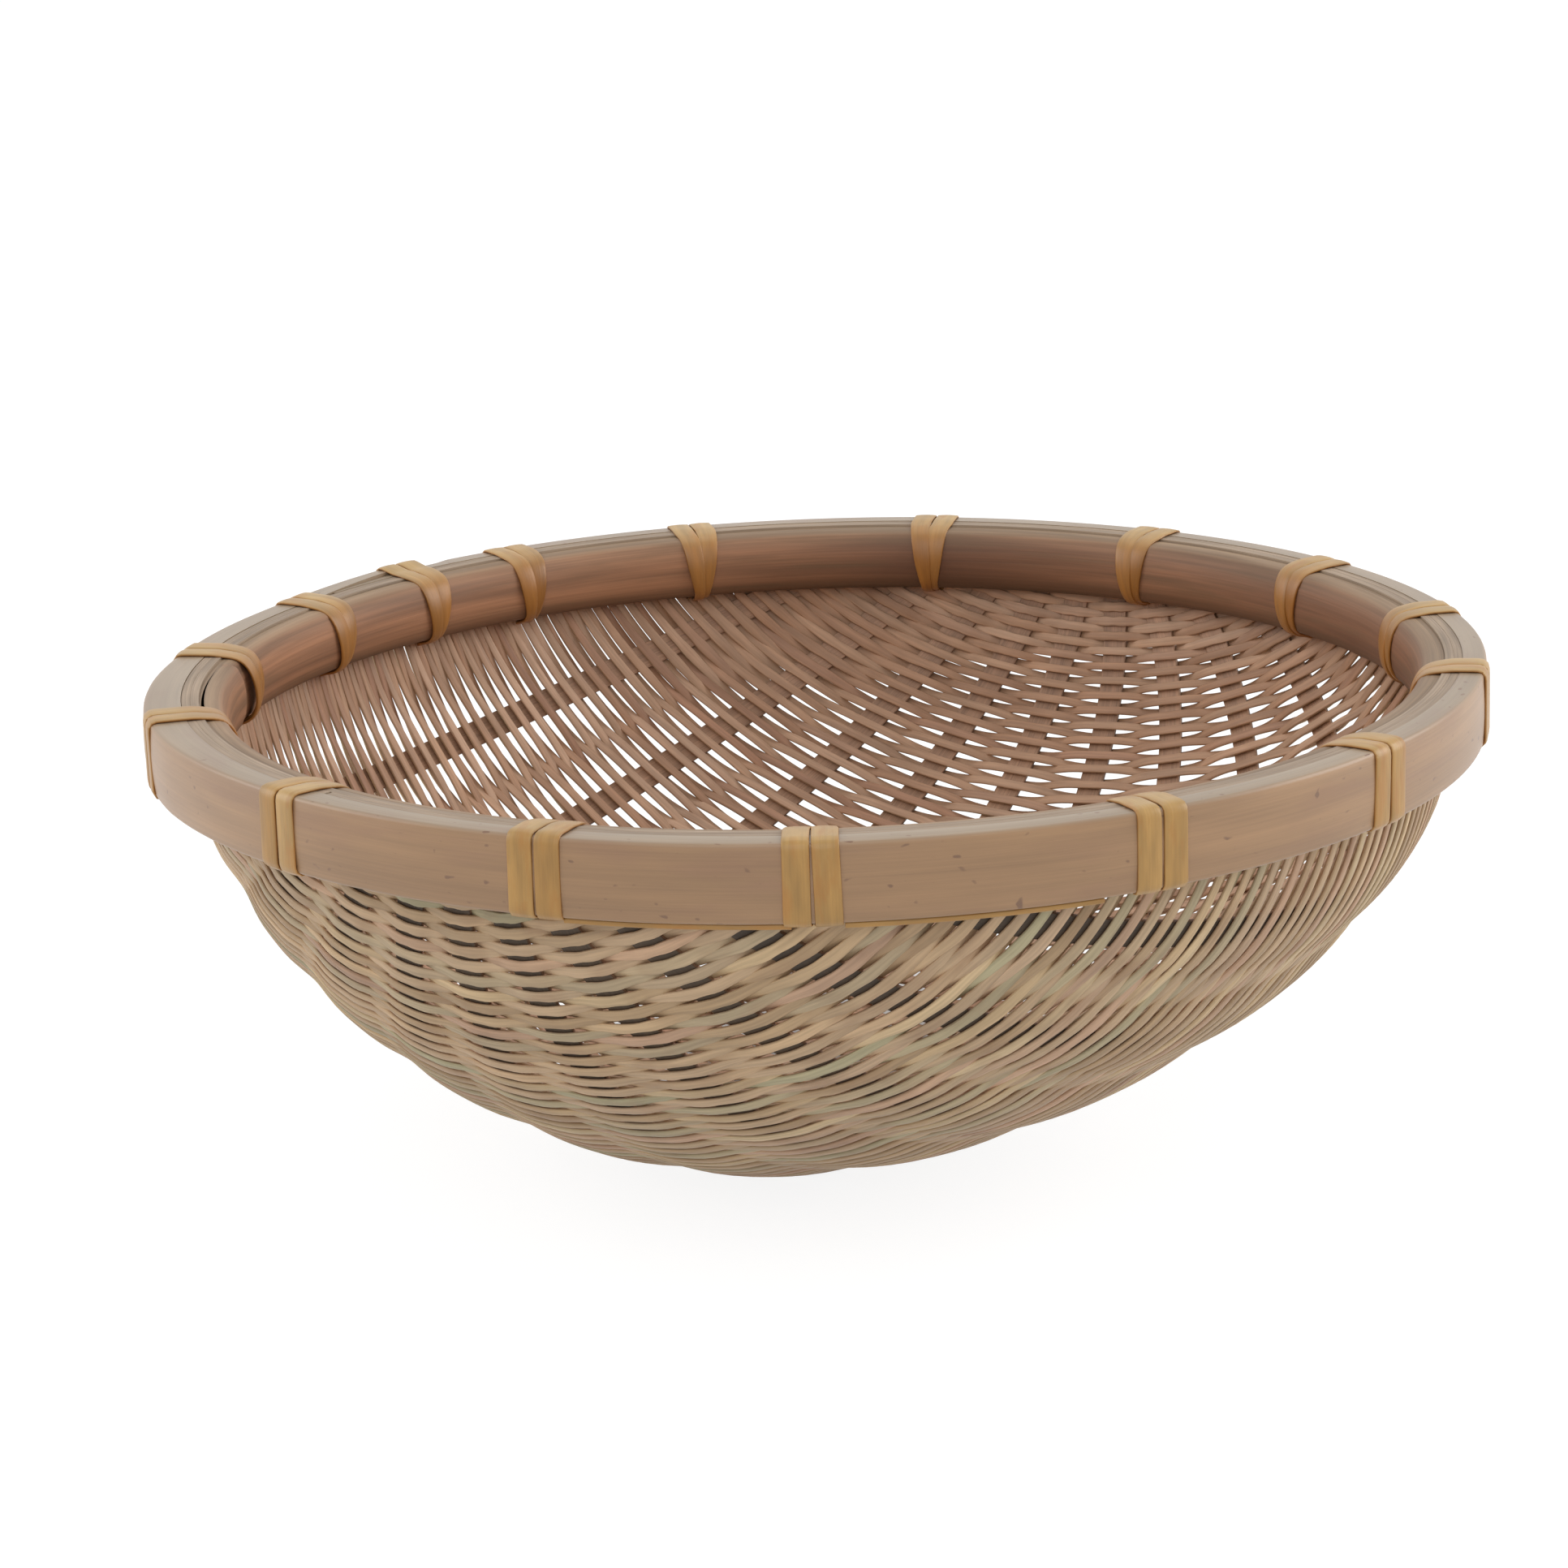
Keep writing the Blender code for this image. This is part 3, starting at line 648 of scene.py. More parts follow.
@dataclass(frozen=True)
class BowlForm:
    """The bowl's outer face as the CAD has it: steep sides, a round floor and a small flat foot."""

    height: float = RIM_TOP
    seat_radius: float = 144.5 * MM
    foot_radius: float = 22.5 * MM
    hoop_height: float = HOOP_HEIGHT
    side_power: float = 2.06
    floor_power: float = 1.38
    lean: float = 12.6 * MM
    lean_azimuth: float = math.radians(210)
    stake_axis_rise: float = 25.2 * MM
    weft_axis_rise: float = 300 * MM
    halvings: int = 34
    step: float = 0.1 * MM
    steepest: float = 60.0

    def side_share(self, depth: np.ndarray) -> np.ndarray:
        """Returns how much of the side is left at a depth, from 1 at the rim to 0 at the foot."""
        return np.maximum(1 - (np.asarray(depth) / self.height) ** self.side_power, 0)

    def radius(self, depth: np.ndarray) -> np.ndarray:
        """Finds how wide the bowl is.

        Args:
            depth: depths below the rim's top.

        Returns:
            The outer face's radius at each depth.
        """
        share = self.side_share(depth) / self.side_share(self.hoop_height)
        flare = (self.seat_radius - self.foot_radius) * share ** (1 / self.floor_power)
        return np.where(depth <= self.hoop_height, self.seat_radius, self.foot_radius + flare)

    def meridian(self, top: float, count: int = 1500) -> tuple[np.ndarray, np.ndarray, np.ndarray]:
        """Follows the outer face from the middle of the foot up to a depth.

        Args:
            top: the depth at which the line ends.
            count: how many points it has above the foot.

        Returns:
            The distances from the middle, the radii and the depths.
        """
        rise = np.linspace(0, 1, count) ** 2
        depths = self.height - (self.height - top) * rise
        radii = self.radius(depths)
        steps = np.hypot(np.diff(radii), np.diff(depths))
        distances = self.foot_radius + np.concatenate([[0.0], np.cumsum(steps)])
        depths = np.concatenate([[self.height], depths])
        return np.concatenate([[0.0], distances]), np.concatenate([[0.0], radii]), depths

    def place(
        self, stake: np.ndarray, weft: np.ndarray, inset: np.ndarray, top: float
    ) -> tuple[np.ndarray, np.ndarray]:
        """Finds where a stake's plane and a weft's plane cross on the bowl.

        Args:
            stake: slopes of the planes that stakes lie in, x over depth below the stakes' axis.
            weft: slopes of the planes that wefts lie in, y over depth below the wefts' axis.
            inset: how far inside the outer face the points lie.
            top: the depth above which there is nothing.

        Returns:
            The points, and the directions in which the bowl's outside looks there.
        """
        stake, weft, inset = np.broadcast_arrays(stake, weft, inset)
        low, high = np.full(stake.shape, top), np.full(stake.shape, self.height)
        for _ in range(self.halvings):
            middle = (low + high) / 2
            reach = np.hypot(
                stake * (middle + self.stake_axis_rise), weft * (middle + self.weft_axis_rise)
            )
            inside = reach < self.radius(middle)
            low, high = np.where(inside, middle, low), np.where(inside, high, middle)
        depth = (low + high) / 2
        x = stake * (depth + self.stake_axis_rise)
        y = weft * (depth + self.weft_axis_rise)
        spread = np.maximum(np.hypot(x, y), 1e-6)
        step = self.step
        fall = (self.radius(depth + step) - self.radius(depth - step)) / (2 * step)
        outward = np.stack([x / spread, y / spread, np.clip(fall, -self.steepest, 0)], axis=-1)
        outward[depth > self.height - step] = (0, 0, -1)
        outward = unit(outward)
        below = (depth - self.hoop_height) / (self.height - self.hoop_height)
        shift = self.lean * np.maximum(below, 0) ** 2
        x = x + shift * math.cos(self.lean_azimuth)
        y = y + shift * math.sin(self.lean_azimuth)
        points = np.stack([x, y, self.height - depth], axis=-1)
        return points - outward * inset[..., None], outward


@dataclass
class Weave:
    """The cloth of the bowl: flat stakes one way, and fine wefts over and under them the other."""

    form: BowlForm
    stake_count: int = 10
    stake_width: float = 6.4 * MM
    stake_thickness: float = 1.1 * MM
    stake_edge: float = 0.25 * MM
    stake_crown: float = 0.1 * MM
    stake_shift: float = 4.25 * MM
    side_margin: float = 27.9 * MM
    middle_inset: float = 1.9 * MM
    play: float = 0.04 * MM
    weft_thickness: float = 0.85 * MM
    tight_azimuth: float = math.radians(275)  # towards which the cloth is beaten up tighter
    tight_reach: float = 100 * MM
    tight_middle: float = 0.6
    tight_delay: float = 0.9  # how much later a weft rises to a stake where it is tight
    # Round the bowl, how deep the close band under the rim is, and how far the cloth opens below
    open_azimuths: Row = (-180, -160, -60, 40, 80, 100, 118, 145, 168, 180)
    open_depths: Row = (24, 8, 8, 19, 19, 22, 33, 29, 18, 24)  # in mm
    open_shares: Row = (0.72, 1, 1, 0.72, 0.86, 1, 1, 0.9, 0.72, 0.72)
    open_band: float = 16 * MM
    open_swing: float = 1.68
    open_fill: float = 1.0  # a weft's width as a share of the pitch, where the cloth is open
    packed_lifts: Row = (0, 0.5, 0.8, 0.93, 1)  # from between two stakes to on one
    packed_fills: Row = (1.15, 1.25, 1.4, 1.38, 1.2)  # the share where it is tight
    side_thinning: float = 0.22
    widths: tuple[float, float] = (0.9 * MM, 3 * MM)
    shortest: float = 24 * MM
    shift_share: float = 0.03  # of the gap to the next weft, by which one lies off its place
    slip_share: float = 0.2
    slip_chance: float = 0.05
    width_spread: float = 0.02
    path_wander: tuple[float, float] = (0.03, 30 * MM)  # share of the pitch, and length of a bend
    width_wander: tuple[float, float] = (0.03, 40 * MM)
    thickness_wander: tuple[float, float] = (0.04, 50 * MM)
    middle_pitch: float = 2.5 * MM
    rim_pitch: float = 1.9 * MM
    pitch_power: float = 1.5  # above 1, which keeps the wefts apart for longer on the way up
    tuck_depth: float = 4.5 * MM
    sample: float = 2.6 * MM
    girth: float = 4.4 * MM  # how far the fibres' pattern goes round a weft
    section_turns: Row = (0, 25, 50, 90, 130, 155, 180, 205, 230, 270, 310, 335)
    section_power: float = 0.5  # below 1, which squares the section
    stake_points: int = 160
    pieces: int = 4

    def __post_init__(self) -> None:
        """Works out the stakes' planes from where they cross the bowl's middle line."""
        self.distances, self.radii, self.depths = self.form.meridian(self.tuck_depth)
        at_hoop = np.interp(-self.form.hoop_height, -self.depths, self.distances)
        self.reach = float(at_hoop) - self.side_margin
        self.stake_pitch = 2 * self.reach / (self.stake_count - 1)
        self.first_stake = self.stake_shift - self.reach
        self.swing = (self.stake_thickness + self.weft_thickness) / 2 + self.play
        self.rng = np.random.default_rng(SEED)

    def slope(self, position: np.ndarray, axis_rise: float) -> np.ndarray:
        """Finds the plane in which a stake or a weft lies.

        Args:
            position: signed distances along the bowl's middle line.
            axis_rise: how far above the rim the planes meet.

        Returns:
            The slope of the plane through each of them.
        """
        radius = np.interp(np.abs(position), self.distances, self.radii)
        depth = np.interp(np.abs(position), self.distances, self.depths)
        return np.sign(position) * radius / (depth + axis_rise)

    def weft_positions(self) -> np.ndarray:
        """Spaces the wefts, closer towards the rim.

        Returns:
            Where they cross the bowl's middle line, from one side to the other.
        """
        edge = self.distances[-1]
        sides = []
        for sign in (-1, 1):
            position, found = self.middle_pitch / 2, []
            while position < edge:
                found.append(sign * position)
                share = (position / edge) ** self.pitch_power
                position += self.middle_pitch + (self.rim_pitch - self.middle_pitch) * share
            sides.append(found)
        return np.array(sorted(sides[0] + sides[1]))

    def tightness(self, points: np.ndarray) -> np.ndarray:
        """Finds how tightly the cloth is beaten up.

        Args:
            points: places on the bowl.

        Returns:
            A share for each point, from 0 on the open side to 1 on the tight one.
        """
        way = np.array([math.cos(self.tight_azimuth), math.sin(self.tight_azimuth)])
        share = np.clip(self.tight_middle + points[:, :2] @ way / self.tight_reach, 0, 1)
        azimuth = np.degrees(np.arctan2(points[:, 1], points[:, 0]))
        top = self.form.height - np.interp(azimuth, self.open_azimuths, self.open_depths) * MM
        most = np.interp(azimuth, self.open_azimuths, self.open_shares)
        share = np.maximum(share, 1 - most * np.clip((top - points[:, 2]) / self.open_band, 0, 1))
        return share * share * (3 - 2 * share)

    def over_under(self, position: np.ndarray, tight: np.ndarray) -> tuple[np.ndarray, np.ndarray]:
        """Finds how a weft goes over and under the stakes.

        Args:
            position: distances across the stakes.
            tight: how tightly the cloth is beaten up there.

        Returns:
            The swing, which dies away from the last stake to the rim, -1 to 1, and how far it has
            turned from lying between two stakes to lying on one, 0 to 1.
        """
        last = self.first_stake + (self.stake_count - 1) * self.stake_pitch
        held = np.clip(position, self.first_stake, last)
        wave = np.cos(math.pi * (held - self.first_stake) / self.stake_pitch)
        away = np.clip(np.abs(position - held) / self.side_margin, 0, 1)
        lifted = np.abs(wave)
        swing = np.sign(wave) * np.sin(math.pi / 2 * lifted ** (1 + self.tight_delay * tight))
        swing = swing * (1 + (self.open_swing - 1) * (1 - tight))
        return swing * (1 + np.cos(math.pi * away)) / 2, lifted

    def section(self) -> np.ndarray:
        """Draws the section of a weft, a strip with round edges.

        Returns:
            Its corners, for a half width and a half thickness of 1.
        """
        turns = np.radians(self.section_turns)
        outline = np.stack([np.cos(turns), np.sin(turns)], axis=1).round(6)
        return np.sign(outline) * np.abs(outline) ** self.section_power

    def weft(self, number: int, position: float, gap: float) -> dict[str, np.ndarray] | None:
        """Shapes one weft.

        Args:
            number: which weft it is, counted across the bowl.
            position: where it crosses the bowl's middle line.
            gap: the distance to the next weft there.

        Returns:
            Its vertices, its UV distances and its attributes, or None where the bowl has no room.
        """
        form = self.form
        jitter = self.rng.normal(0, self.shift_share)
        jitter += self.slip_share * (self.rng.random() < self.slip_chance)
        level = self.slope(np.array(position + jitter * gap), form.weft_axis_rise)
        nearby = self.slope(np.array(position + (jitter + 1) * gap), form.weft_axis_rise)
        room = form.seat_radius**2 - (level * (self.tuck_depth + form.weft_axis_rise)) ** 2
        if room <= (self.shortest / 2) ** 2:
            return None
        last = math.sqrt(room) / (self.tuck_depth + form.stake_axis_rise)
        rises = self.radii / (self.depths + form.stake_axis_rise)
        end = np.interp(last, rises, self.distances)
        count = int(2 * end / self.sample) + 2
        across = np.linspace(-end, end, count)
        slopes = self.slope(across, form.stake_axis_rise)
        rough, _ = form.place(slopes, level, self.middle_inset, self.tuck_depth)
        tight = self.tightness(rough)
        swing, lifted = self.over_under(across, tight)
        swing = swing * (1 if number % 2 else -1) * self.swing
        points, outward = form.place(slopes, level, self.middle_inset - swing, self.tuck_depth)
        beside, _ = form.place(slopes, nearby, self.middle_inset - swing, self.tuck_depth)
        ways = unit(np.gradient(points, axis=0))
        sides = unit(np.cross(outward, ways))
        faces = np.cross(ways, sides)
        pitch = np.abs(np.sum((beside - points) * sides, axis=1))
        along = run_lengths(points)
        # Split by hand, each weft wanders a little, and no two are of one width
        share, length = self.path_wander
        points = points + sides * (share * pitch * smooth_noise(self.rng, along, length))[:, None]
        packed = np.interp(lifted, self.packed_lifts, self.packed_fills)
        fill = self.open_fill + (packed - self.open_fill) * tight
        fill = fill * (1 + self.rng.normal(0, self.width_spread))
        share, length = self.width_wander
        fill = fill * (1 + share * smooth_noise(self.rng, along, length))
        beyond = np.clip((np.abs(across) - self.reach) / self.side_margin, 0, 1)
        half_width = np.clip(pitch * (fill * (1 - self.side_thinning * beyond)), *self.widths) / 2
        share, length = self.thickness_wander
        uneven = 1 + share * smooth_noise(self.rng, along, length)
        half_thickness = self.weft_thickness / 2 * uneven
        outline = self.section()
        rings = (
            points[:, None, :]
            + sides[:, None, :] * (half_width[:, None] * outline[None, :, 0])[..., None]
            + faces[:, None, :] * (half_thickness[:, None] * outline[None, :, 1])[..., None]
        )
        inward = np.broadcast_to(np.clip(-2 * outline[:, 1], 0, 1), (count, len(outline)))
        skyward = np.clip(faces[:, None, 2] * outline[None, :, 1], 0, 1)
        return {"rings": rings, "along": along, "inward": inward, "skyward": skyward}

    def tube_mesh(self, name: str, strands: list[dict[str, np.ndarray]]) -> Piece:
        """Joins strands into one mesh of closed tubes.

        Args:
            name: the piece's name.
            strands: what weft returned, with each strand's own number added.

        Returns:
            The piece with its UV map and attributes.
        """
        ring = len(self.section_turns)
        around = np.linspace(0, self.girth, ring + 1)
        vertices, faces, uvs, start = [], [], [], 0
        columns = np.arange(ring)
        following = (columns + 1) % ring
        for strand in strands:
            along = strand["along"][:, None]
            count = len(along)
            vertices.append(strand["rings"].reshape(-1, 3))
            rows = start + ring * np.arange(count - 1)[:, None]
            near, far = (along[:-1], rows), (along[1:], rows + ring)
            left, right = (around[:-1], columns), (around[1:], following)
            quads, corners = [], []
            for (u, row), (v, column) in ((near, left), (near, right), (far, right), (far, left)):
                quads.append(row + column)
                corners.append(np.stack(np.broadcast_arrays(u, v), axis=-1))
            faces.extend(np.stack(quads, axis=-1).reshape(-1, 4).tolist())
            uvs.append(np.stack(corners, axis=2).reshape(-1, 2))
            last = start + ring * (count - 1)
            faces.append((start + columns[::-1]).tolist())
            faces.append((last + columns).tolist())
            uvs.append(np.zeros((2 * ring, 2)))
            start += ring * count
        mesh = bpy.data.meshes.new(name)
        mesh.from_pydata(np.concatenate(vertices), [], faces)
        layer = mesh.uv_layers.new(name="along")
        layer.data.foreach_set("uv", np.concatenate(uvs).astype(np.float32).ravel())
        piece = new_object(name, mesh)
        face_outwards(piece)
        bpy.ops.object.shade_smooth()
        for key in ("inward", "skyward"):
            set_attribute(piece, key, np.concatenate([s[key].ravel() for s in strands]))
        own = [np.full(s["along"].size * ring, s["strand"]) for s in strands]
        set_attribute(piece, "strand", np.concatenate(own))
        piece.data.materials.append(MATERIALS[Finish.WEFT])
        return piece

    def build_wefts(self) -> list[Piece]:
        """Weaves all wefts and splits them into pieces of a size that can be kept whole.

        Returns:
            The pieces, from one side of the bowl to the other.
        """
        positions = self.weft_positions()
        gaps = np.append(np.diff(positions), self.rim_pitch)
        strands = []
        for number, (position, gap) in enumerate(zip(positions, gaps)):
            strand = self.weft(number, float(position), float(gap))
            if strand is not None:
                strand["strand"] = float(self.rng.random())
                strands.append(strand)
        LOG.info("wefts: %d strands, stakes %.1f mm apart", len(strands), self.stake_pitch / MM)
        size = math.ceil(len(strands) / self.pieces)
        groups = [strands[i : i + size] for i in range(0, len(strands), size)]
        return [self.tube_mesh(f"wefts_{i + 1}", group) for i, group in enumerate(groups)]

    def build_stakes(self) -> list[Piece]:
        """Lays the stakes along the middle of the cloth.

        Returns:
            The stakes.
        """
        form, stakes = self.form, []
        thickness, edge, crown = self.stake_thickness, self.stake_edge, self.stake_crown
        for number in range(self.stake_count):
            position = self.first_stake + number * self.stake_pitch
            slope = self.slope(np.array(position), form.stake_axis_rise)
            room = form.seat_radius**2 - (slope * (self.tuck_depth + form.stake_axis_rise)) ** 2
            end = math.sqrt(room) / (self.tuck_depth + form.weft_axis_rise)
            levels = np.linspace(-end, end, self.stake_points)
            inset = self.middle_inset + thickness / 2
            points, outward = form.place(slope, levels, inset, self.tuck_depth)
            name = f"stake_strip_{number + 1:02d}"
            strip = Strip(name, self.stake_width, thickness, edge, crown)
            piece = strip.lay(Line(points, outward), Finish.STAKE, float(self.rng.random()))
            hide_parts(f"stake_{number + 1:02d}")
            stakes.append(piece)
        return stakes

    def build(self) -> list[Piece]:
        """Builds the whole cloth.

        Returns:
            Its wefts and stakes.
        """
        wefts = self.build_wefts()
        for piece in wefts:
            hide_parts("woven_wefts")
        return wefts + self.build_stakes()


# The rim


@dataclass(frozen=True)
class Rim:
    """Sizes that the rim's strips share: both hoops in section, and the gap the cloth stands in."""

    top: float = RIM_TOP
    radius: float = 150 * MM
    hoop_height: float = HOOP_HEIGHT
    outer_back: float = 144.8 * MM
    inner_back: float = 140.8 * MM
    inner_thickness: float = 6.6 * MM
    inner_drop: float = 0.7 * MM
    inner_power: float = 0.6
    outer_edge: float = 0.8 * MM
    fit: float = 0.03 * MM
    # A binding's way where it leaves and enters the cloth and crosses the top of the rim: outwards
    # from the back of the hoop there, and downwards from the hoops' edge
    cloth_exit: tuple[float, float] = (1.6 * MM, 0.8 * MM)
    under_outer: tuple[tuple[float, float], ...] = ((0.6 * MM, 0.3 * MM), (2.2 * MM, 0.0))
    over_top: tuple[float, float] = (2.0 * MM, 0.1 * MM)
    under_inner: tuple[tuple[float, float], ...] = ((0.4 * MM, 0.5 * MM), (1.8 * MM, 1.2 * MM))
    lap_start: float = 164.5
    lap_lift: float = 1.0 * MM
    lap_fall: float = 16.0  # over how many degrees the lifted tip settles
    lap_azimuths: Row = (163.5, 164.5, 185, 200, 210, 220, 232, 246, 262)
    lap_swells: Row = (0, 1.2, 0.8, 1.6, 2.5, 2.9, 2.4, 0.8, 0)  # in mm

    def raised(self, azimuth: np.ndarray) -> np.ndarray:
        """Returns how far the outer lap stands above the rim at an azimuth, most at its tip."""
        start = self.lap_start
        return np.interp(azimuth, [start - 1, start, start + self.lap_fall], [0, self.lap_lift, 0])

    def swollen(self, azimuth: np.ndarray) -> np.ndarray:
        """Returns how far the outer lap stands out at an azimuth, where the hoop is double."""
        return np.interp(azimuth, self.lap_azimuths, self.lap_swells) * MM

    def ring(self, radius: float, depth: float, start: float, end: float, inwards: bool) -> Line:
        """Makes a level line round the rim.

        Args:
            radius: its distance from the bowl's axis.
            depth: its depth below the top.
            start: the azimuth at which it starts, in degrees.
            end: the azimuth at which it ends, which may be more than a turn further on.
            inwards: True if the strip's face looks at the axis.

        Returns:
            The line.
        """
        turns = np.radians(np.linspace(start, end, int(abs(end - start)) + 2))
        rays = np.stack([np.cos(turns), np.sin(turns), np.zeros_like(turns)], axis=1)
        points = rays * radius + np.array([0, 0, self.top - depth])
        return Line(points, -rays if inwards else rays)

    def binding_loop(self, margin: float) -> np.ndarray:
        """Follows the way of a binding round the hoops, in section.

        Args:
            margin: how far off the hoops the line runs.

        Returns:
            Radius and depth of each point, from the cloth below the hoops, up the outside and back.
        """
        outer, edge, height = self.radius, self.outer_edge, self.hoop_height
        below = height + margin
        # Out through the cloth, under the outer hoop and round its two corners
        out, down = self.cloth_exit
        points = [(self.inner_back + out, below + down)]
        points += [(self.outer_back + out, below + down) for out, down in self.under_outer]
        for centre_depth, turns in ((height - edge, (90, 45, 0)), (edge, (0, -30, -60, -90))):
            for turn in turns:
                across, down = math.cos(math.radians(turn)), math.sin(math.radians(turn))
                reach = edge + margin
                points.append((outer - edge + reach * across, centre_depth + reach * down))
        # Over the top, round the half-round inner hoop and back to the cloth
        out, down = self.over_top
        points.append((self.inner_back + out, down - margin))
        half = (height - self.inner_drop) / 2
        for turn in np.radians(np.linspace(-80, 80, 13)):
            swell = (self.inner_thickness + margin) * math.cos(turn) ** self.inner_power
            down = self.inner_drop + half + (half + margin) * math.sin(turn)
            points.append((self.inner_back - swell, down))
        points += [(self.inner_back + out, below + down) for out, down in self.under_inner]
        return self.evened(np.array(points))

    @staticmethod
    def evened(points: np.ndarray, step: float = 0.7 * MM) -> np.ndarray:
        """Respaces a line in section evenly and rounds off its corners a little.

        Args:
            points: the line's corners.
            step: about how far apart the new points lie.

        Returns:
            The new points.
        """
        places = run_lengths(points)
        wanted = np.linspace(0, places[-1], int(places[-1] / step) + 2)
        line = np.stack([np.interp(wanted, places, points[:, i]) for i in (0, 1)], axis=1)
        for _ in range(2):
            line[1:-1] = (line[:-2] + 2 * line[1:-1] + line[2:]) / 4
        return line


@dataclass
class Hoops:
    """The two hoops and the strips on edge between them.

    Each hoop is one strip whose pared ends lap. Where its back lifts and its face is pared away is
    given at azimuths for the outer hoop, and at degrees from the start for the inner one.
    """

    rim: Rim
    tone: float = 0.4  # the hoops' own number, which picks their tone
    outer_end: float = 536.0
    outer_crown: float = 0.35 * MM
    outer_lifts_at: Row = (164.5, 178, 360)
    outer_lifts: Row = (3.4, 0.1, 0)  # in mm
    outer_cuts_at: Row = (520.4, 521.2, 524.4, 536)
    outer_cuts: Row = (0, 1.5, 2.0, 4.7)  # in mm
    outer_bend: float = 0.15 * MM
    outer_bend_length: float = 90 * MM
    outer_bend_points: int = 600
    inner_start: float = 204.5
    inner_end: float = 584.5
    inner_edge: float = 1.2 * MM
    inner_corner: float = 1.3 * MM  # within which its back is made square again
    inner_edge_share: float = 0.25  # what its half-round section keeps of the thickness at an edge
    inner_lifts_at: Row = (0, 20, 340)
    inner_lifts: Row = (0.55, 0.02, 0)  # shares of the thickness
    inner_faces_at: Row = (335, 358, 360.5, 380)
    inner_faces: Row = (1, 0.8, 0.62, 0.5)
    # painted shade on the hoop's face, given at azimuths, and in the corner beside the tip of its
    # lap
    shade_at: Row = (0, 60, 83, 107, 122, 135, 330, 360)  # azimuths
    shade_shares: Row = (0.7, 0.6, 0.35, 1.0, 0.35, 0, 0, 0.7)
    lap_shade_at: Row = (357.3, 358.6, 361, 361.2)
    edge_height: float = 2.8 * MM
    edge_drop: float = 0.15 * MM
    edge_joints: Row = (40.0, 255.0)
    edge_gap: float = 0.8 * MM
    edge_bevel: float = 0.07 * MM
    edge_tones: Row = (0.2, 0.8)

    def outer(self) -> Piece:
        """Builds the outer hoop, whose start lies over its end and ends in a blunt step.

        Returns:
            The hoop.
        """
        rim = self.rim
        thickness = rim.radius - rim.outer_back
        depth = rim.hoop_height / 2
        line = rim.ring(rim.outer_back, depth, rim.lap_start, self.outer_end, inwards=False)
        turn = math.degrees(line.length / rim.outer_back) / line.length
        crown = self.outer_crown
        strip = Strip("outer_hoop_strip", rim.hoop_height, thickness, rim.outer_edge, crown)
        places = np.linspace(0, line.length, self.outer_bend_points)
        rng = np.random.default_rng(SEED + 1)
        bend = self.outer_bend * smooth_noise(rng, places, self.outer_bend_length)

        def pared(spots: np.ndarray) -> np.ndarray:
            """Pares both ends so that they lap, the upper one lifted towards its tip.

            Args:
                spots: the straight strip's vertices.

            Returns:
                The vertices, moved.
            """
            azimuth = rim.lap_start + spots[:, 0] * turn
            back = np.interp(azimuth, self.outer_lifts_at, self.outer_lifts) * MM
            face = thickness - np.interp(azimuth, self.outer_cuts_at, self.outer_cuts) * MM
            share = spots[:, 2] / thickness
            corner = rim.hoop_height / 2 - 1.05 * rim.outer_edge  # just inside the eased edge
            flush = (share < 0.5) & (np.abs(spots[:, 1]) > corner)
            spots[flush, 1] = np.sign(spots[flush, 1]) * rim.hoop_height / 2
            spots[:, 2] = back + share * (face + rim.swollen(azimuth) - back)
            spots[:, 1] += rim.raised(azimuth)
            spots[:, 2] += np.interp(spots[:, 0], places, bend) * share
            return spots

        piece = strip.lay(line, Finish.OUTER_HOOP, self.tone, pared)
        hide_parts("outer_hoop")
        return piece

    def inner(self) -> Piece:
        """Builds the inner hoop, half round, its round side towards the bowl's middle.

        Returns:
            The hoop.
        """
        rim = self.rim
        height = rim.hoop_height - rim.inner_drop
        depth = rim.inner_drop + height / 2
        line = rim.ring(rim.inner_back, depth, self.inner_start, self.inner_end, inwards=True)
        turn = math.degrees(line.length / rim.inner_back) / line.length
        strip = Strip("inner_hoop_strip", height, rim.inner_thickness, self.inner_edge)

        def rounded(spots: np.ndarray) -> np.ndarray:
            """Rounds the inner side and pares both ends so that they lap.

            Args:
                spots: the straight strip's vertices.

            Returns:
                The vertices, moved.
            """
            azimuth = spots[:, 0] * turn
            corner = self.inner_corner
            flush = (spots[:, 2] < corner) & (np.abs(spots[:, 1]) > height / 2 - corner)
            spots[flush, 1] = np.sign(spots[flush, 1]) * height / 2
            lean = np.clip(np.abs(2 * spots[:, 1] / height), 0, 0.999)
            swell = (1 - lean**2) ** (rim.inner_power / 2)
            share = spots[:, 2] / rim.inner_thickness
            back = np.interp(azimuth, self.inner_lifts_at, self.inner_lifts)
            face = np.interp(azimuth, self.inner_faces_at, self.inner_faces)
            out = (back + share * (face - back)) * rim.inner_thickness
            spots[:, 2] = out * (self.inner_edge_share + (1 - self.inner_edge_share) * swell)
            return spots

        def shaded(places: np.ndarray) -> np.ndarray:
            """Paints shade on the hoop round part of its turn, most on the far side and the right,
            and into the corner beside the tip of its lap.

            Args:
                places: distances along the hoop.

            Returns:
                How far the face there takes the back's colour.
            """
            azimuth = (self.inner_start + places * turn) % 360
            share = np.interp(azimuth, self.shade_at, self.shade_shares)
            return np.maximum(share, np.interp(places * turn, self.lap_shade_at, [0, 1, 1, 0]))

        piece = strip.lay(line, Finish.INNER_HOOP, self.tone, rounded, shaded)
        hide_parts("inner_hoop")
        return piece

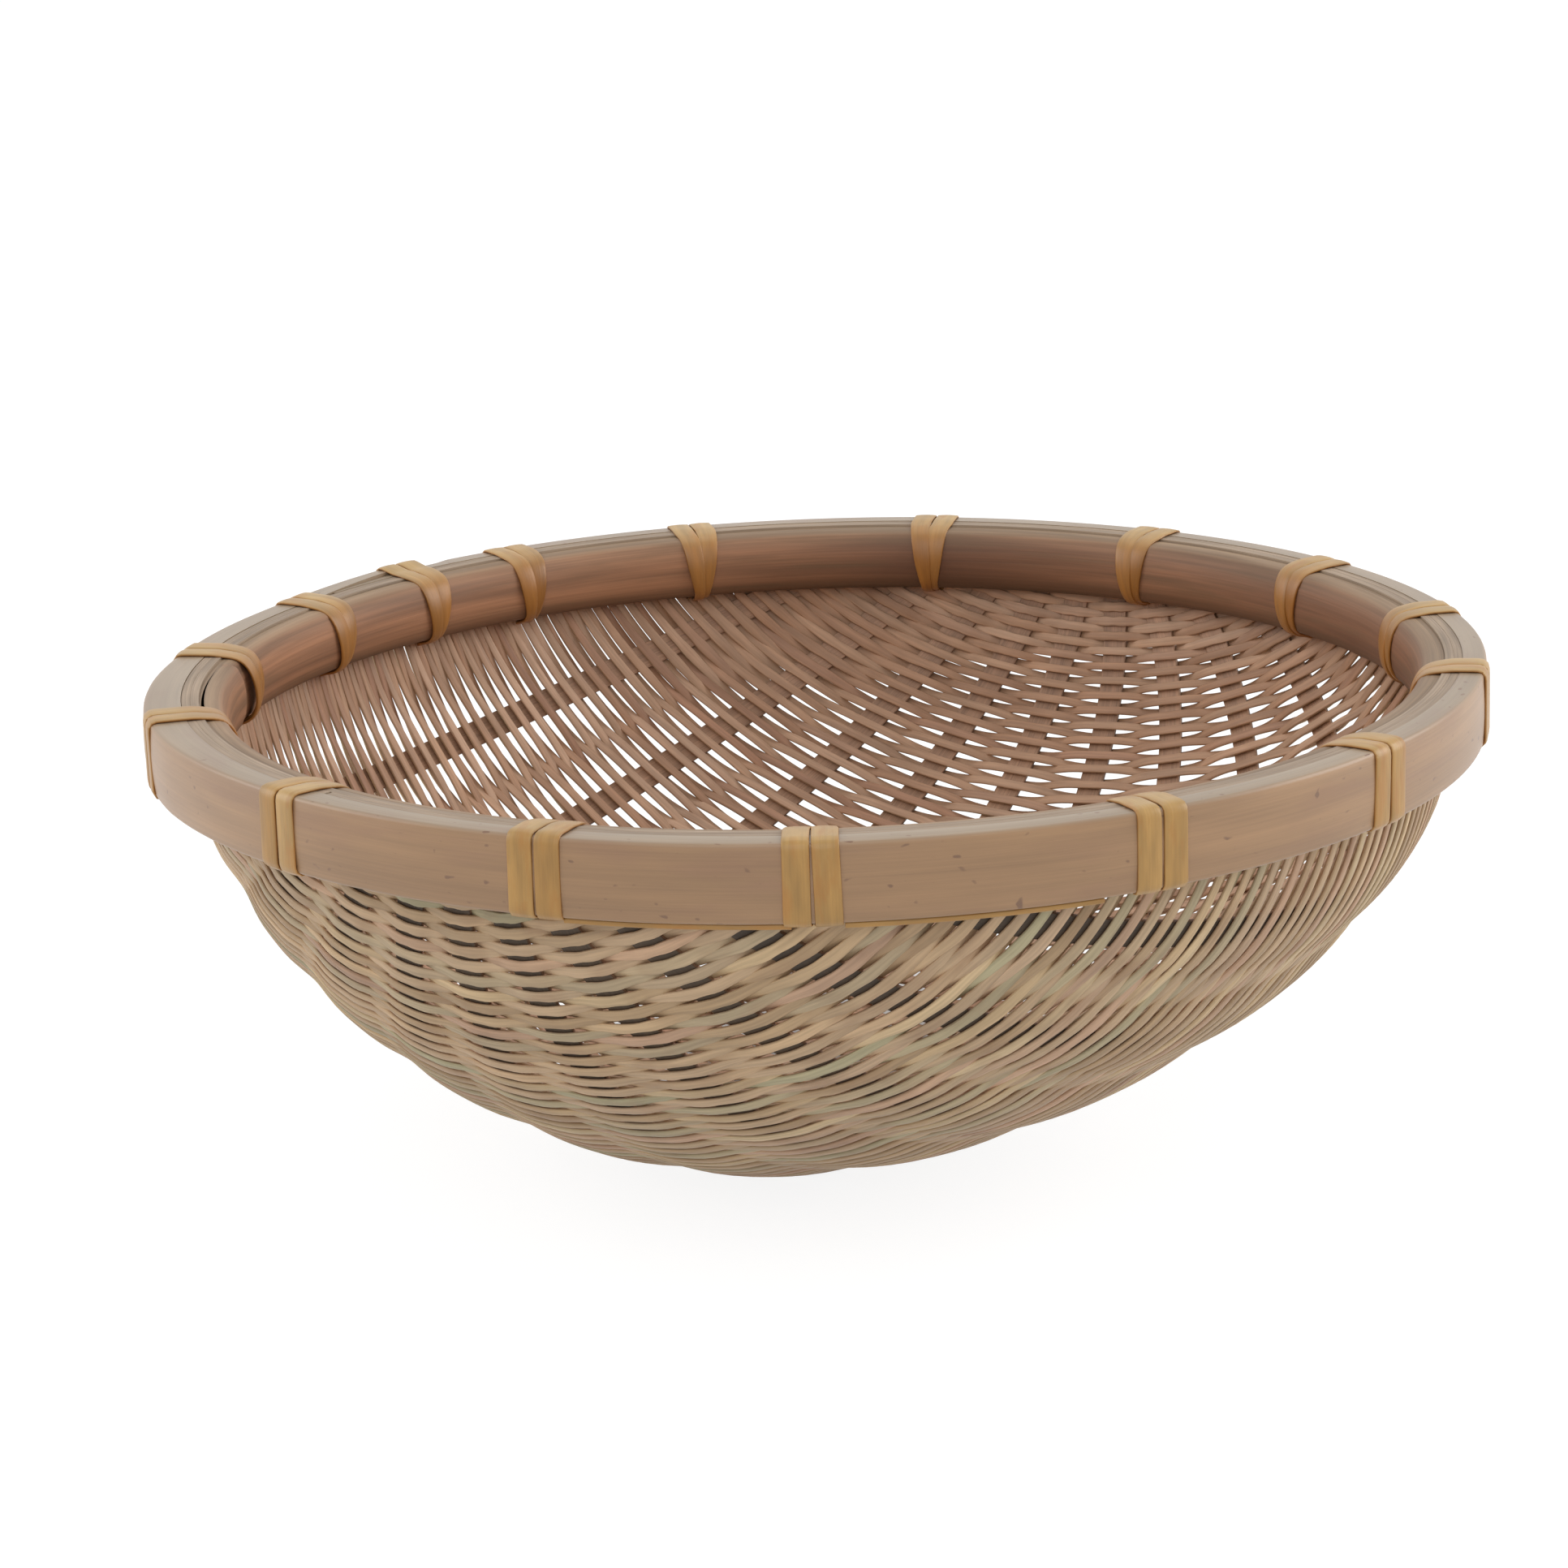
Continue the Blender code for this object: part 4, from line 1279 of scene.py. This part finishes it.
    def edges(self) -> list[Piece]:
        """Builds the thin strips on edge that cover the cut ends of the cloth.

        Returns:
            The strips.
        """
        rim, strips = self.rim, []
        count = len(self.edge_joints)
        room = rim.outer_back - rim.inner_back
        thickness = (room - (count + 1) * rim.fit) / count
        for number, joint in enumerate(self.edge_joints):
            back = rim.inner_back + rim.fit + number * (thickness + rim.fit)
            open_angle = math.degrees(self.edge_gap / back)
            depth = self.edge_drop + self.edge_height / 2
            line = rim.ring(back, depth, joint + open_angle, joint + 360, inwards=False)
            name = f"edge_strip_on_rim_{number + 1}"
            strip = Strip(name, self.edge_height, thickness, self.edge_bevel)
            piece = strip.lay(line, Finish.EDGE_STRIP, self.edge_tones[number])
            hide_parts(f"edge_strip_{number + 1:02d}")
            strips.append(piece)
        return strips

    def build(self) -> list[Piece]:
        """Builds all strips of the rim."""
        return [self.outer(), self.inner(), *self.edges()]


@dataclass
class Lashing:
    """Peeled cane: two turns side by side at each binding, and the runs between three of them."""

    rim: Rim
    azimuths: Row = (
        (17, 39, 61, 83.5, 107.5, 133, 153, 165.5)
        + (180, 200.5, 224, 252, 277.5, 298.6, 325.8, 350.5)
    )
    width: float = 5.5 * MM
    gap: float = 0.6 * MM
    thickness: float = 0.55 * MM
    edge: float = 0.25 * MM
    crown: float = 0.15 * MM
    segment: float = 1.0 * MM
    looseness: float = 0.15 * MM
    tilt: float = 0.8 * MM
    bend: float = 0.12 * MM
    bend_share: float = 0.5  # how long a bend is, as a share of a turn's length
    full_swell: float = 2.0 * MM  # how far inside the rim's radius a turn takes the lap's swell
    spreads_at: Row = (0, 0.12, 0.55, 0.72, 0.86, 1)  # shares of a turn's length
    spreads: Row = (0.35, 1, 0.94, 0.56, 0.27, 0.15)
    widths_at: Row = (0, 0.1, 0.55, 0.74, 0.86, 1)
    widths: Row = (0.45, 1, 0.98, 0.78, 0.5, 0.4)
    # painted shade on the cane inside the bowl, as shares of a turn's length
    shade_at: tuple[float, float] = (0.5, 0.66)
    shade_shares: tuple[float, float] = (0, 0.62)
    lifts_at: Row = (0, 0.1, 0.62, 0.85, 1)
    lifts: Row = (0.4, 0, 0, 1, 0.6)  # where the second turn lies over the first
    run_width: float = 3.0 * MM
    run_thickness: float = 1.2 * MM
    run_edge: float = 0.4 * MM
    run_inset: float = 0.8 * MM
    run_tones: Row = (0.1, 0.3)
    runs: tuple[tuple[float, float], ...] = ((279.5, 297.0), (301.0, 321.0))

    def turn_line(self, azimuth: float, side: int, tilt: float, rng: Any) -> Line:
        """Finds the way of one turn of cane round the rim.

        Args:
            azimuth: where the binding stands, in degrees.
            side: -1 or 1, for the turn on either side.
            tilt: how far the binding leans sideways from the outside to the inside.
            rng: the source of chance for the cane's small bends.

        Returns:
            The line of the turn's back.
        """
        section = self.rim.binding_loop(self.looseness)
        radii, depths = section[:, 0], section[:, 1]
        share = np.linspace(0, 1, len(section))
        spread = np.interp(share, self.spreads_at, self.spreads)
        lift = np.interp(share, self.lifts_at, self.lifts) * (side > 0)
        aside = side * (self.width + self.gap) / 2 * spread
        aside = aside + tilt * (share - 0.5)
        aside = aside + self.bend * smooth_noise(rng, share, self.bend_share)
        turns = math.radians(azimuth) + aside / radii
        ways = unit(np.gradient(section, axis=0))
        out, down = ways[:, 1], -ways[:, 0]
        flip = np.sign(np.sum(np.stack([out, down], 1) * (section - section.mean(0)), 1).sum())
        out, down = out * flip, down * flip
        azimuths = np.degrees(turns)
        full = self.rim.radius - self.full_swell
        outer = np.interp(radii, [self.rim.outer_back, full], [0, 1])
        upper = np.interp(depths, [0, self.rim.hoop_height / 2], [1, 0])
        radii = radii + out * lift * self.thickness + self.rim.swollen(azimuths) * outer
        depths = depths + down * lift * self.thickness - self.rim.raised(azimuths) * outer * upper
        rays = np.stack([np.cos(turns), np.sin(turns)], axis=1)
        points = np.column_stack([rays * radii[:, None], self.rim.top - depths])
        faces = np.column_stack([rays * out[:, None], -down])
        return Line(points, faces)

    def binding(self, number: int, azimuth: float) -> Piece:
        """Lays both turns of one binding and joins them.

        Args:
            number: the binding's number, from 1.
            azimuth: where it stands, in degrees.

        Returns:
            The binding.
        """
        rng = np.random.default_rng(SEED + 10 * number)
        tilt = float(rng.normal(0, self.tilt))
        name, turns = f"binding_cane_{number:02d}", []
        for side in (-1, 1):
            line = self.turn_line(azimuth, side, tilt, rng)

            def narrowed(spots: np.ndarray) -> np.ndarray:
                """Draws the cane together where it goes through the cloth."""
                spots[:, 1] *= np.interp(spots[:, 0] / line.length, self.widths_at, self.widths)
                return spots

            def shaded(places: np.ndarray) -> np.ndarray:
                """Paints shade on the cane inside the bowl, mixing in the back's colour."""
                return np.interp(places / line.length, self.shade_at, self.shade_shares)

            strip = Strip(name, self.width, self.thickness, self.edge, self.crown, self.segment)
            turns.append(strip.lay(line, Finish.CANE, float(rng.random()), narrowed, shaded))
        only(turns[0])
        turns[1].select_set(True)
        bpy.ops.object.join()
        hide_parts(f"binding_{number:02d}")
        return turns[0]

    def build(self) -> list[Piece]:
        """Lays every binding and the cane carried under the outer hoop.

        Returns:
            The bindings, then the runs.
        """
        pieces = [self.binding(i + 1, azimuth) for i, azimuth in enumerate(self.azimuths)]
        rim = self.rim
        depth = rim.hoop_height + rim.fit + self.run_thickness / 2
        for number, (start, end) in enumerate(self.runs):
            radius = rim.radius - self.run_inset - self.run_width
            line = rim.ring(radius, depth, start, end, inwards=False)
            name = f"cane_run_strip_{number + 1}"
            strip = Strip(name, self.run_thickness, self.run_width, self.run_edge)
            piece = strip.lay(line, Finish.CANE, self.run_tones[number])
            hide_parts(f"cane_run_{number + 1:02d}")
            pieces.append(piece)
        return pieces


# The studio


class LampSide(Enum):
    """Where each lamp hangs: degrees round from the camera, to its right, and degrees up."""

    LEFT = (-95.0, 22.0)
    RIGHT = (95.0, 22.0)
    FRONT = (-10.0, 32.0)
    ABOVE = (180.0, 75.0)


@dataclass
class Studio:
    """A white sweep, soft daylight and the camera where the photograph was taken from."""

    target: Vector
    distance: float = 0.90
    elevation: float = 0.2430
    azimuth: float = math.radians(299.9)
    roll: float = 0.0352
    focal_share: float = 4852 / 1932
    sensor: float = 36.0
    shift: tuple[float, float] = (-0.0236, -0.0829)
    view_end: float = 20.0
    floor_radius: float = 8.0
    floor_corners: int = 96
    world_strength: float = 0.62
    powers: Row = (4.7, 7.2, 2.7, 2.0)
    shade_radii: tuple[float, float] = (40 * MM, 75 * MM)
    shade_shift: float = 65 * MM
    paper: str = "E2E2E2"
    glow: float = 1.25
    lamp_distance: float = 1.25
    lamp_size: float = 0.9
    glow_share: float = 0.7

    def camera(self) -> None:
        """Sets the camera to the photograph's view."""
        data = bpy.data.cameras.new("photo_camera")
        data.sensor_width = self.sensor
        data.lens = self.focal_share * self.sensor
        data.shift_x, data.shift_y = self.shift
        data.clip_end = self.view_end
        camera = new_object("photo_camera", data)
        level = self.distance * math.cos(self.elevation)
        offset = Vector((math.cos(self.azimuth), math.sin(self.azimuth), 0)) * level
        offset.z = self.distance * math.sin(self.elevation)
        look = (-offset).to_track_quat("-Z", "Y").to_matrix().to_4x4()
        camera.matrix_world = (
            Matrix.Translation(self.target + offset) @ look @ Matrix.Rotation(-self.roll, 4, "Z")
        )
        bpy.context.scene.camera = camera

    def seen(self, tree: Tree) -> Any:
        """Finds where the eye sees a surface.

        Args:
            tree: the node tree of the surface's material, or of the world.

        Returns:
            An output that is 1 where it is seen straight, mirrored or through something.
        """
        path = add_node(tree, "ShaderNodeLightPath").outputs
        inputs = {0: path["Is Camera Ray"], 1: path["Is Glossy Ray"]}
        total = add_node(tree, "ShaderNodeMath", inputs).outputs["Value"]
        inputs = {0: total, 1: path["Is Transmission Ray"]}
        return add_node(tree, "ShaderNodeMath", inputs, use_clamp=True).outputs["Value"]

    def floor(self) -> None:
        """Lays the floor, which keeps a faint shadow of the basket."""
        bpy.ops.object.select_all(action="DESELECT")
        size = {"vertices": self.floor_corners, "radius": self.floor_radius}
        bpy.ops.mesh.primitive_circle_add(fill_type="NGON", location=(0, 0, 0), **size)
        floor = active_mesh()
        floor.name = "studio_floor"
        material = bpy.data.materials.new("studio_paper")
        tree = blank_tree(material)
        paper = add_node(tree, "ShaderNodeBsdfDiffuse", {"Color": linear(self.paper)})
        glow = add_node(tree, "ShaderNodeEmission", {"Color": (1, 1, 1, 1), "Strength": self.glow})
        place = add_node(tree, "ShaderNodeTexCoord").outputs["Object"]
        shift = -self.shade_shift
        centre = (math.cos(self.azimuth) * shift, math.sin(self.azimuth) * shift, 0)
        inputs = {0: place, 1: centre}
        spread = add_node(tree, "ShaderNodeVectorMath", inputs, operation="DISTANCE")
        near, far = self.shade_radii
        inputs = {0: spread.outputs["Value"], 1: near, 2: far, 3: 0.0, 4: self.glow_share}
        lit = add_node(tree, "ShaderNodeMapRange", inputs).outputs["Result"]
        share = add_node(tree, "ShaderNodeMath", {0: self.seen(tree), 1: lit}, operation="MULTIPLY")
        inputs = {0: share.outputs["Value"], 1: paper.outputs["BSDF"], 2: glow.outputs["Emission"]}
        mix = add_node(tree, "ShaderNodeMixShader", inputs)
        add_node(tree, "ShaderNodeOutputMaterial", {"Surface": mix.outputs["Shader"]})
        floor.data.materials.append(material)

    def lamp(self, side: LampSide, power: float) -> None:
        """Hangs a large soft lamp that looks at the basket.

        Args:
            side: where it hangs, seen from the camera.
            power: its power in watts.
        """
        turn, rise = side.value
        data = bpy.data.lights.new(f"lamp_{side.name.lower()}", "AREA")
        data.shape = "DISK"
        data.size = self.lamp_size
        data.energy = power
        lamp = new_object(data.name, data)
        azimuth, height = self.azimuth + math.radians(turn), math.radians(rise)
        level = math.cos(height)
        way = Vector((level * math.cos(azimuth), level * math.sin(azimuth), math.sin(height)))
        lamp.location = self.target + way * self.lamp_distance
        lamp.rotation_euler = (-way).to_track_quat("-Z", "Y").to_euler()

    def world(self) -> None:
        """Fills the room with even white light, and shows it as white behind the basket."""
        world = bpy.data.worlds.new("studio_daylight")
        bpy.context.scene.world = world
        tree = blank_tree(world)
        inputs = {"Value": self.seen(tree), 3: self.world_strength, 4: 1.0}
        strength = add_node(tree, "ShaderNodeMapRange", inputs).outputs["Result"]
        inputs = {"Color": (1, 1, 1, 1), "Strength": strength}
        light = add_node(tree, "ShaderNodeBackground", inputs).outputs["Background"]
        add_node(tree, "ShaderNodeOutputWorld", {"Surface": light})

    def build(self) -> None:
        """Sets up the whole studio."""
        self.floor()
        self.world()
        for side, power in zip(LampSide, self.powers):
            self.lamp(side, power)
        self.camera()
        bpy.context.scene.view_settings.view_transform = "Standard"


def main() -> None:
    """Builds the basket piece by piece on the frame, then the studio, and logs each piece's number
    of faces.
    """
    logging.basicConfig(level=logging.INFO, format="%(name)s: %(message)s")
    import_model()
    for finish in Finish:
        MATERIALS[finish] = finish.value.build()
    rim = Rim()
    for part in (Weave(BowlForm()), Hoops(rim), Lashing(rim)):
        for piece in part.build():
            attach(piece, "root")
            LOG.info("%s: %d faces", piece.name, len(piece.data.polygons))
    Studio(target=Vector((0, 0, RIM_TOP))).build()


if __name__ == "__main__":
    main()
